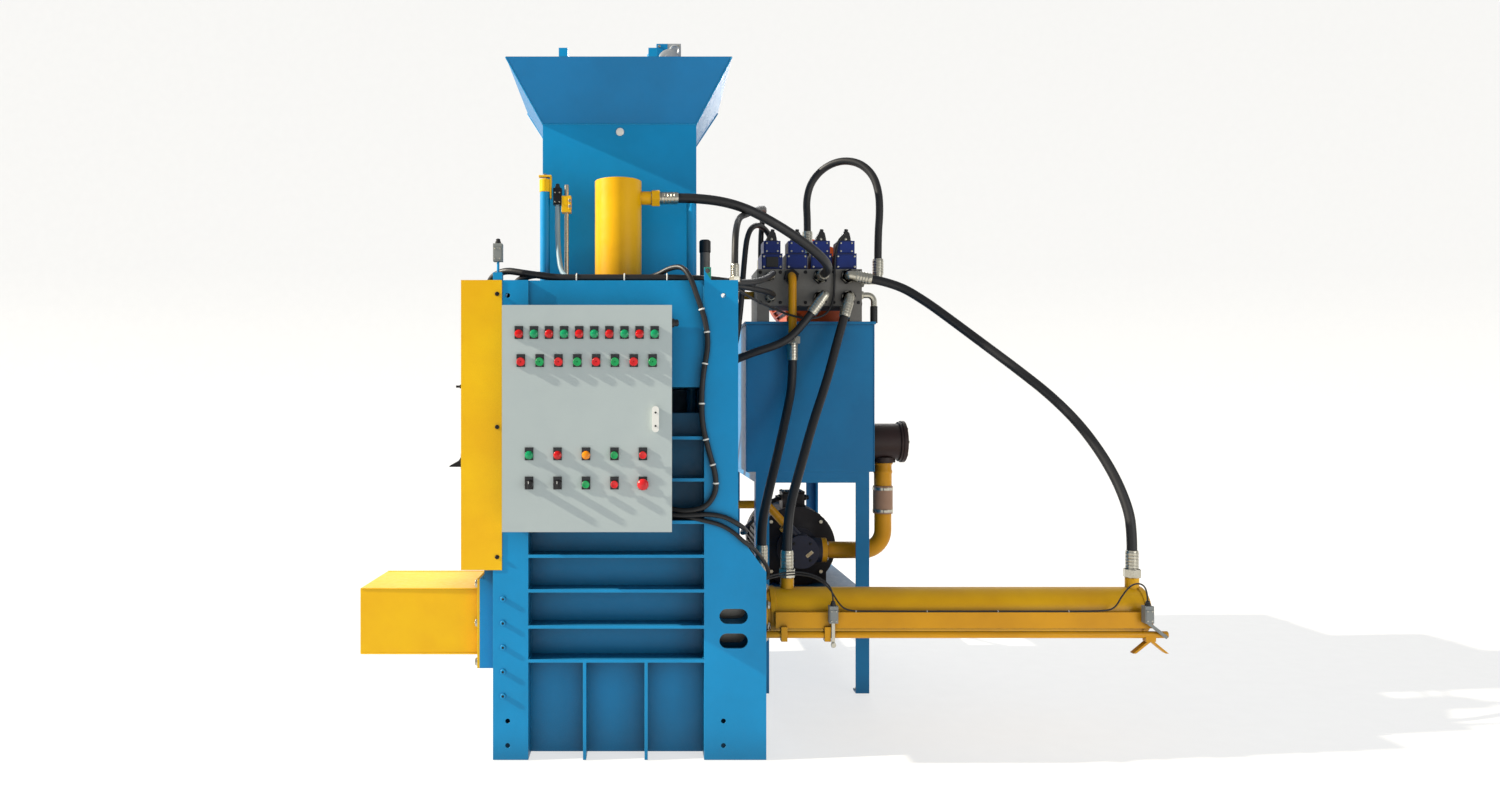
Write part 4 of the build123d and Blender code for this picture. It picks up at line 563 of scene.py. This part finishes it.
for body, x in zip(("left_selector", "right_selector"), key_xs):
    collar = turned([(14.4, 0), (14.4, 2), (13.6, 3)], (x, bezel_y - 0.6, low_level), NEAR, 28)
    grip = block((x - 4.5, -537.2, low_level - 13), (x + 4.5, -530, low_level + 13), 1.6)
    mark = block((x - 1, -537.4, low_level + 3), (x + 1, -537, low_level + 12), 0.1)
    put(body + "_grip", [(black_abs, [collar, grip]), (white_abs, [mark])], body)
put("handle_pins", [(black_abs, [turned([(3.6, 0), (3.6, 1.2), (2.4, 1.6)], (144, -528.2, z), NEAR, 16)
                                 for z in (1249, 1296)])], "handle")


# Fasteners
def bolts(places, axis, size, washer=True):
    """Hexagon heads, on washers if wanted; the size is half a head's width over its corners."""
    head = np.array([(0.92, 0), (1, 0.1), (1, 0.62), (0.88, 0.72)]) * size
    ring = [(size * 1.35, -0.5), (size * 1.35, size * 0.14), (size * 1.28, size * 0.2)]
    shapes = []
    for at in places:
        shapes.append(turned(head, at, axis, 6))
        if washer:
            shapes.append(turned(ring, at, axis, 20))
    return shapes


def screws(places, axis, size):
    """Round screw heads, domed towards the axis' way."""
    profile = [(size, -0.5), (size, size * 0.35), (size * 0.8, size * 0.6), (size * 0.3, size * 0.7)]
    return [turned(profile, at, axis, 14) for at in places]


flange_places = [(-529, side * 226.25, 326 + share * 339) for side in SIDES for share in (0.06, 0.5, 0.94)]
eject_places = around((590, 0, 496), RIGHT, 106, [45 * (n + 0.5) for n in range(8)])
flange_heads = bolts(flange_places, LEFT, 15) + bolts(eject_places, RIGHT, 15)
cap_places = [(-422, -310, 239 + 90.5 * n) for n in range(5)]
cap_heads = [turned([(10, -0.5), (10, 7.5), (9, 8.5), (5, 8.5)], at, NEAR) for at in cap_places]
sockets = [turned([(5, 8), (5, 8.8)], at, NEAR, 6) for at in cap_places]
put("flange_screws", [(zinc_plate, flange_heads), (azure_enamel, cap_heads), (black_oxide, sockets)],
    stands_for=("flange_bolts",))
cover_heads = screws([(-444, -312.5, z) for z in (1738, 1242, 757)], NEAR, 8)
cover_heads.append(turned([(8, -0.5), (8, 8), (5, 9), (5, 22)], (-579, -288, 1393), LEFT, 6))
put("cover_screws", [(black_oxide, cover_heads)])
wedge = [(-578.5, 1092), (-578.5, 1136), (-590, 1116), (-625, 1096), (-625, 1092)]
put("cover_latch", [(black_oxide, [slab(wedge, -296, -272), block((-582, -302, 1084), (-578.5, -264, 1142), 1)])])
put("base_anchors", [(zinc_plate, bolts([(x, y, 8) for x in (665, 1096) for y in (611, 1927)], UP, 11))])


# Hose ends: hexagon nuts at the ports, and a crimped ferrule at every end
def nut(at, axis, scale):
    """Hexagon union nut with turned edges; the scale is that of the hose."""
    return turned(np.array([(32.5, 0), (34.7, 2), (34.7, 32), (32.5, 34)]) * scale, at, axis, 6, phase=0.3)


def ferrule(tip, way, scale):
    """Ferrule with five crimp rings, from its tip back to its shoulder, against the way the hose leaves."""
    rings = np.arange(5)[:, None] * 13 + np.array((4, 6, 13, 15))
    radii = np.broadcast_to((24.3, 25.6, 25.6, 24.3), rings.shape)
    profile = np.c_[np.r_[24.3, radii.ravel(), 24.3, 22.5], np.r_[-0.5, rings.ravel(), 71.5, 74.6]]
    return turned(profile * scale, np.asarray(tip) - 74 * scale * np.asarray(way), way)


manifold_y, upper_ports, lower_ports, slim = 565, 1918.7, 1819.6, 0.65
straight_ends = {"press_hose": (0, 1), "eject_cap_hose": (1,), "eject_rod_hose": (1,), "feed_hose": (1,),
                 "loop_hose": (0,), "pusher_hose": (0,), "gate_hose": (0, 1), "feed_return_hose": (0, 1)}
bright_nuts, dark_nuts, painted_nuts, ferrules = [], [], [], []
for name, (radius, length, route) in hoses.items():
    points = np.array(route) / MM
    scale = slim if radius < 0.015 else 1.0
    for end, (tip, inner) in enumerate(((points[0], points[1]), (points[-1], points[-2]))):
        way = (inner - tip) / np.linalg.norm(inner - tip)
        ferrules.append(ferrule(tip, way, scale))
        if end in straight_ends[name]:
            face = tip - 108 * scale * way
            painted = name == "press_hose" and end == 0
            kind = painted_nuts if painted else dark_nuts if abs(face[1] - manifold_y) < 1 else bright_nuts
            kind.append(nut(face, way, scale))
for level in (upper_ports, lower_ports):
    ferrules.append(ferrule((683, 494.8, level), NEAR, slim))
    dark_nuts.append(nut((683, manifold_y, level), NEAR, slim))
for x, level in ((1040.4, upper_ports), (1040.4, lower_ports), (914.8, lower_ports), (779.6, upper_ports)):
    dark_nuts.append(nut((x, manifold_y, level), NEAR, 1))
bright_nuts += [nut((1108, 685, upper_ports), RIGHT, 1), nut((560, 150, 640), RIGHT, 1)]
put("union_nuts", [(zinc_plate, bright_nuts), (black_oxide, dark_nuts), (barrel_enamel, painted_nuts)])
put("crimped_ferrules", [(zinc_plate, ferrules)])


# Motors: cooling fins, end shields, fan cowl, terminal box lid and lifting eye
def motor_dress(x, z, low, high, radius, finish, name, gap=30):
    """Fins are thin blocks turned about the axis, none over the feet or in the gap at the top; the rest is turned."""
    front, rear = (x, low, z), (x, high, z)
    fin = block((x - 2.2, low + 42, z + radius - 4), (x + 2.2, high - 78, z + radius + 13), 1.2)
    fins = [tilt(fin, (x, 0, z), BACK, a) for a in range(-144, 145, 8) if abs(a) > gap]
    shield = turned([(radius - 10, -6), (radius + 9, -2), (radius + 9, 34), (radius + 2, 40)], front, BACK, 48)
    nose = turned([(100, -16), (104, -14), (radius - 34, -9), (radius - 10, -5)], front, BACK, 48)
    cowl = turned([(radius + 3, -84), (radius + 11, -80), (radius + 11, -8), (radius + 1, 4), (radius - 40, 6),
                   (60, 6)], rear, BACK, 48)
    slots = [turned([(r - 5, 5), (r - 5, 8.5), (r + 5, 8.5), (r + 5, 5)], rear, BACK, 40) for r in (70, 95, 120, 145)]
    heads = bolts(around((x, low - 6, z), NEAR, radius - 14, DIAGONALS), NEAR, 10, False)
    put(name + "_fins", [(finish, fins + [shield, nose, cowl] + slots), (zinc_plate, heads)])


motor_dress(845, 640, 840, 1340, 185, dark_enamel, "pump_motor")
motor_dress(975, 1925, 960, 1380, 198, orange_enamel, "upper_motor", gap=0)
circle = np.linspace(0, 2 * np.pi, 25)
eye = np.c_[975 + 24 * np.cos(circle), np.full(25, 1170), 2166 + 24 * np.sin(circle)]
put("lifting_eye", [(orange_enamel, [piped(eye, 7, level=BACK),
                                     turned([(20, -8), (20, 6), (12, 12)], (975, 1170, 2126), UP)])])
gland_profile = [(15, 0), (15, 12), (11, 16), (11, 26)]
terminal_lid = [block((788, 908, 893), (902, 1022, 903), 3), block((796, 904, 840), (894, 910, 892), 2)]
put("terminal_lid", [(dark_enamel, terminal_lid),
                     (zinc_plate, screws([(x, y, 903) for x in (798, 892) for y in (918, 1012)], UP, 5)),
                     (black_abs, [turned(gland_profile, (902, 965, 868), RIGHT)])])

# Valves: front plates, screws, seams, plugs with their leads' glands
plug_outline = [(-15, -20), (15, -20), (22, -12), (23, 4), (13, 30), (8, 35), (-8, 35), (-13, 30), (-23, 4),
                (-22, -12)]
valve_plates, valve_screws, valve_dark = [], [], []
for x in (695.5, 809.5, 923.5, 1037.5):
    valve_plates += [block((x - 33, 570.5, 2031), (x + 33, 575.5, 2082), 2),
                     block((x - 44, 571.5, 1960), (x + 44, 575.5, 2020), 2),
                     block((x - 30, 596, 2085), (x + 30, 668, 2093), 3)]
    valve_screws += screws([(x + side * 25, 570.5, z) for side in SIDES for z in (2038, 2075)], NEAR, 4.5)
    valve_screws += screws([(x + side * 38, 571.5, z) for side in SIDES for z in (1966, 2014)], NEAR, 5)
    valve_screws += screws([(x, 590, 2096)], NEAR, 6.5)
    plug = slab([(x + a, 2096 + b) for a, b in plug_outline], 590, 642)
    gland = turned([(12, 0), (12, 8), (9, 12), (9, 20), (4, 22)], (x, 616, 2126), UP, 12)
    valve_dark.append(block((x - 48.6, 574.4, 2024.6), (x + 48.6, 716, 2027.6), 0.4))
    valve_dark += [tilt(shape, (x, 0, 2090), BACK, 9) for shape in (plug, gland)]
valve_dark.append(block((667, 568.5, 1964), (724, 575, 2012), 2))
put("valve_plates", [(valve_enamel, valve_plates), (zinc_plate, valve_screws), (black_abs, valve_dark)])
manifold_places = [(x, manifold_y, z) for x in (640, 732, 848, 978, 1092) for z in (1800, 1940)]
manifold_heads = screws(manifold_places, NEAR, 8)
manifold_heads += bolts([(625, 640, 1900)], LEFT, 17) + bolts([(1108, 620, 1800)], RIGHT, 15)
put("manifold_screws", [(black_oxide, manifold_heads)])
bend = np.linspace(0, math.pi / 2, 9)
elbow = np.c_[1150 + 30 * np.sin(bend), np.full(9, 640), 1812 + 30 * np.cos(bend)]
return_pipe = np.r_[[(1126, 640, 1842)], elbow, [(1180, 640, 1790)]]
put("return_elbow", [(zinc_plate, [turned([(19, 0), (21, 2), (21, 20), (19, 22)], (1108, 640, 1842), RIGHT, 6),
                                   piped(return_pipe, 14, level=BACK)]),
                     (hose_rubber, [turned([(17, 0), (17, 78)], (1180, 640, 1712), UP)])])

# Suction filter, sleeve clamps and the flange screws of the suction line
filter_end = (1338, 715, 1155)
filter_rim = [turned([(92, -30), (94, -28), (94, -18), (98.6, -17), (98.6, -1), (97, 1)], filter_end, RIGHT, 40),
              turned([(70, 0), (70, 4), (64, 6)], filter_end, RIGHT, 40),
              turned([(104, -0.5), (104, 11), (102, 13)], (1163, 715, 1155), RIGHT, 40)]
filter_heads = bolts(around(filter_end, RIGHT, 84, range(0, 360, 45)), RIGHT, 8)
put("filter_rim", [(filter_enamel, filter_rim), (zinc_plate, filter_heads)])
clamps = [turned([(46.5, 0), (48.2, 0.5), (48.2, 13.5), (46.5, 14)], (1240, 715, z), UP, 36) for z in (821, 925)]
clamps += [block((1230, 662, z), (1252, 672, z + 14), 2) for z in (821, 925)]
put("sleeve_clamps", [(zinc_plate, clamps)])
neck = [(40.5, 0), (41.5, 1), (41.5, 58), (44, 64), (44, 72), (41, 78), (41, 100), (46, 104), (46, 110)]
put("filter_collar", [(pipe_enamel_painted_shade, [turned(neck, (1240, 715, 945.3), UP, 36)])])
pump_plate = tilt(block((860, 638.8, 622), (898, 640.2, 638), 0.4), (879, 0, 630), BACK, -40)
pump_heads = screws([(x, 640, z) for x in (806, 884) for z in (601, 679)], NEAR, 7)
put("pump_plate", [(zinc_plate, [pump_plate]), (black_oxide, pump_heads)])
put("suction_screws", [(zinc_plate, bolts(around((969, 715, 640), RIGHT, 49, DIAGONALS), RIGHT, 8))])

# Limit switches: lids, screws and glands, and the lever with its roller on the near one
switch_lids, dark_lids, switch_screws, switch_glands = [], [], [], []
for x, y, z in ((842, -153, 475), (2070, -153, 475), (-245, -16, 2133), (-443, -309, 1861)):
    lids = dark_lids if z > 2000 else switch_lids
    lids.append(block((x - 14.5, y - 2.2, z + 4), (x + 14.5, y + 0.5, z + 52), 1.2))
    lids.append(block((x - 17.4, y - 0.6, z + 53), (x + 17.4, y + 32.4, z + 66.5), 1.5))
    switch_screws += screws([(x + side * 9, y - 2.2, z + h) for side in SIDES for h in (9, 47)], NEAR, 3)
    switch_glands.append(turned([(11, 0), (11, 8), (8.5, 11), (8.5, 17), (5, 20)], (x, y + 16, z + 66), UP, 12))
lever = [turned([(9, 0), (10, 1), (10, 8), (9, 9)], (842, -140, 389), NEAR),
         block((835.4, -140.8, 378.6), (848.6, -139.6, 484), 0.4)]
put("switch_lids", [(switch_casting, switch_lids), (black_oxide, dark_lids), (zinc_plate, switch_screws + lever),
                    (black_abs, switch_glands)])

# Guide rods with the trip bracket on the left one, and the press rod between them
guide_x = 296
guides = [turned([(20, 1227), (20, top - 2), (18, top)], (x, 0, 0), UP, 32)
          for x, top in ((-guide_x, 2187), (guide_x, 2137))]
press_rod = [turned([(45, 957), (45, 2124), (77.9, 2124), (77.9, 2184)], (0, 0, 0), UP, 48)]
trip_bracket = [turned([(20, 2184), (22.5, 2186), (22.5, 2234), (21, 2236)], (-guide_x, 0, 0), UP, 32),
                block((-321, -13, 2244), (-268.5, 13, 2252), 1.5),
                block((-276.5, -11, 2158), (-268.5, 11, 2250), 1.5)]
trip_heads = [turned([(8, 2235), (8, 2245)], (-guide_x, 0, 0), UP), *bolts([(-guide_x, 0, 2252)], UP, 9)]
trip_heads += screws([(-276.5, 0, 2212), (-276.5, 0, 2176)], LEFT, 7)
put("guide_rods", [(azure_enamel, guides), (hard_chrome, press_rod), (golden_enamel, trip_bracket),
                   (zinc_plate, trip_heads)], "press_ram", ("ram_rods",))
clamp = [block((-228.6, -16.6, 2100.4), (-189.4, 16.6, 2168.6), 2), block((-200, -22, 2112), (-189, -16, 2158), 2)]
clamp_heads = bolts([(-194.5, -22, z) for z in (2124, 2146)], NEAR, 7, False)
put("stand_clamp", [(golden_enamel, clamp), (zinc_plate, clamp_heads)])

# Gearmotor over the hopper: covers, fins and cowl
gear_x, gear_z = 211, 2820
gear_covers = [turned([(44, -0.5), (44, 5), (38, 8), (20, 8), (18, 12)], (gear_x, 284, z), NEAR, 32)
               for z in (2715, gear_z)]
gear_covers.append(turned([(23, -0.5), (23, 4), (18, 6), (14, 3), (4, 3)], (236, 284, 2860), NEAR, 28))
gear_fin = block((gear_x - 1.4, 420, 2866), (gear_x + 1.4, 590, 2878), 0.8)
gear_shapes = [tilt(gear_fin, (gear_x, 0, gear_z), BACK, a) for a in range(0, 360, 15)]
gear_shapes += [turned([(53, 0), (57, 2), (57, 40), (52, 47), (20, 47)], (gear_x, 590, gear_z), BACK, 32),
                turned([(50.5, 0), (50.8, 1), (50.8, 194)], (gear_x, 396.5, gear_z), BACK, 32),
                turned([(40, 0), (46, 2), (46, 12), (36, 14), (36, 34), (30, 40)], (158, 340, 2830), LEFT, 32),
                block((157.3, 283.2, 2654), (207, 396.7, 2888.8), 1.5)]
gear_heads = bolts([(x, 284, z) for x in (170, 252) for z in (2665, 2877)], NEAR, 6, False)
put("gearmotor_dress", [(azure_enamel, gear_shapes), (cast_aluminium, gear_covers), (zinc_plate, gear_heads)])

# Small things on the chute, the box, the frame's top and the tank
put("level_sensor", [(white_abs, [turned([(17, -0.5), (17, 4), (14, 7), (6, 8)], (2, 215, 2488), NEAR, 28)])])
grommets = [turned([(11, -1), (11, 3), (8, 5)], at, RIGHT, 16) for at in ((455, -200, 1772), (560, -131, 643))]
grommets.append(turned(gland_profile, (788, 965, 868), LEFT, 16))
put("lead_grommets", [(black_abs, grommets)])
box_gland = turned([(17, 0), (17, 9), (13, 13), (13, 24), (8, 28)], (202, -400, 1622), RIGHT, 12)
put("box_gland", [(black_abs, [box_gland])])
put("breather", [(cast_block, [turned([(22, 0), (22, 197)], (369, 304, 1790), UP)]),
                 (black_abs, [turned([(22, 0), (25, 3), (25, 50), (20, 56)], (369, 304, 1987), UP)])])
filler = [(46, 0), (46, 6), (34, 8), (34, 22), (42, 24), (42, 62), (36, 68)]
put("tank_filler", [(zinc_plate, [turned(filler, (1040, 1800, 1712), UP, 32)])])
gauge_ends = [block((1163, 1180, z), (1173, 1216, z + 22), 3) for z in (1350, 1568)]
gauge_heads = bolts([(1173, 1198, z) for z in (1361, 1579)], RIGHT, 9, False)
put("level_gauge", [(black_oxide, gauge_ends), (white_abs, [block((1163, 1186, 1370), (1171, 1210, 1570), 3)]),
                    (zinc_plate, gauge_heads)])
hatch_heads = screws(around((870, 2018.8, 1360), BACK, 168, range(0, 360, 30)), BACK, 6)
put("tank_hatch", [(tank_enamel_painted_shade, [turned([(190, 0), (190, 3), (188, 4)], (870, 2015, 1360), BACK, 60)]),
                   (zinc_plate, hatch_heads)])

# Cylinder ends: turned rings at the heads and caps
put("press_ring", [(barrel_enamel, [turned([(94.3, 0), (99, 2), (99, 16), (94.3, 18)], (0, 0, 1816), UP, 48)])])
rings = [turned([(94.3, 0), (98, 2), (98, 22), (94.3, 24)], (x, 0, 496), RIGHT, 48) for x in (604, 2084)]
put("eject_rings", [(barrel_enamel, rings)])


# Weld beads along the seams
def bead(start_at, end_at, radius=3.2, pitch=7):
    """Weld bead: a bar whose radius ripples along its way, one ripple a pitch."""
    start_at, end_at = np.array(start_at, float), np.array(end_at, float)
    run = np.linalg.norm(end_at - start_at)
    s = np.linspace(0, 1, max(4, int(run / pitch * 3)))
    swell = radius * (1 + 0.16 * np.sin(2 * np.pi * s * run / pitch))
    return piped(start_at + s[:, None] * (end_at - start_at), swell, 6, level=(0.3, 0.5, 0.81))


chute_corners = [(-327, 215), (327, 215), (327, 722), (-327, 722)]
rim_corners = [(-466, 75), (466, 75), (466, 862), (-466, 862)]
flare_low, flare_high = 2522, 2758
rib_levels = (375, 502, 636, 766, 892, 1050, 1207)
next_corners = chute_corners[1:] + chute_corners[:1]
blue_beads = [bead((*a, flare_low), (*b, flare_low)) for a, b in zip(chute_corners, next_corners)]
blue_beads += [bead((*a, flare_low), (*b, flare_high)) for a, b in zip(chute_corners, rim_corners)]
blue_beads += [bead((side * 329, -299, 1396), (side * 329, -299, 1786)) for side in SIDES]
blue_beads += [bead((side * 327, -303, z), (side * 327, -217, z), 4) for side in SIDES for z in rib_levels]
tank_beads = [bead((x, y, 1022), (x, y, 1698)) for x in (577, 1163) for y in (565, 2015)]
duct_beads = [bead((-531, side * 207, z), (-982, side * 205, z), 2.6) for side in SIDES for z in (371, 621)]
put("weld_beads", [(azure_enamel, blue_beads), (tank_enamel_painted_shade, tank_beads), (golden_enamel, duct_beads)])


# Ties round the pair of gate hoses on the frame's top, and bands round the cables
def tie(x, middle, level, half_width, half_height):
    """Strap round a pair of hoses: a rounded rectangle |y/a|^4 + |z/b|^4 = 1 carried as a flat bar."""
    t = np.linspace(0, 2 * np.pi, 33)
    y = middle + half_width * np.sign(np.cos(t)) * np.abs(np.cos(t)) ** 0.5
    z = level + half_height * np.sign(np.sin(t)) * np.abs(np.sin(t)) ** 0.5
    return piped(np.c_[np.full(33, x), y, z], 2.4, 6, level=RIGHT)


cable_ways = np.array([(304, -321, 1720), (332, -321, 1640), (343, -321, 1550), (318, -321, 1405), (319, -321, 1253),
                       (349, -321, 1138), (370, -321, 1065), (372, -321, 1000)], float)
band = np.array([(10.2, -3), (11.6, -2), (11.6, 2), (10.2, 3)])
bands = [turned(band, (a + b) / 2, b - a) for a, b in zip(cable_ways, cable_ways[1:])]
bands += [turned(band * 0.4, (x, -117, 515.5), RIGHT, 12) for x in (935, 1214, 1492, 1770)]
put("hose_ties", [(white_abs, [tie(x, -254.5, 1803.6, 32, 15.5) for x in (190, 30, -150)] + bands)])
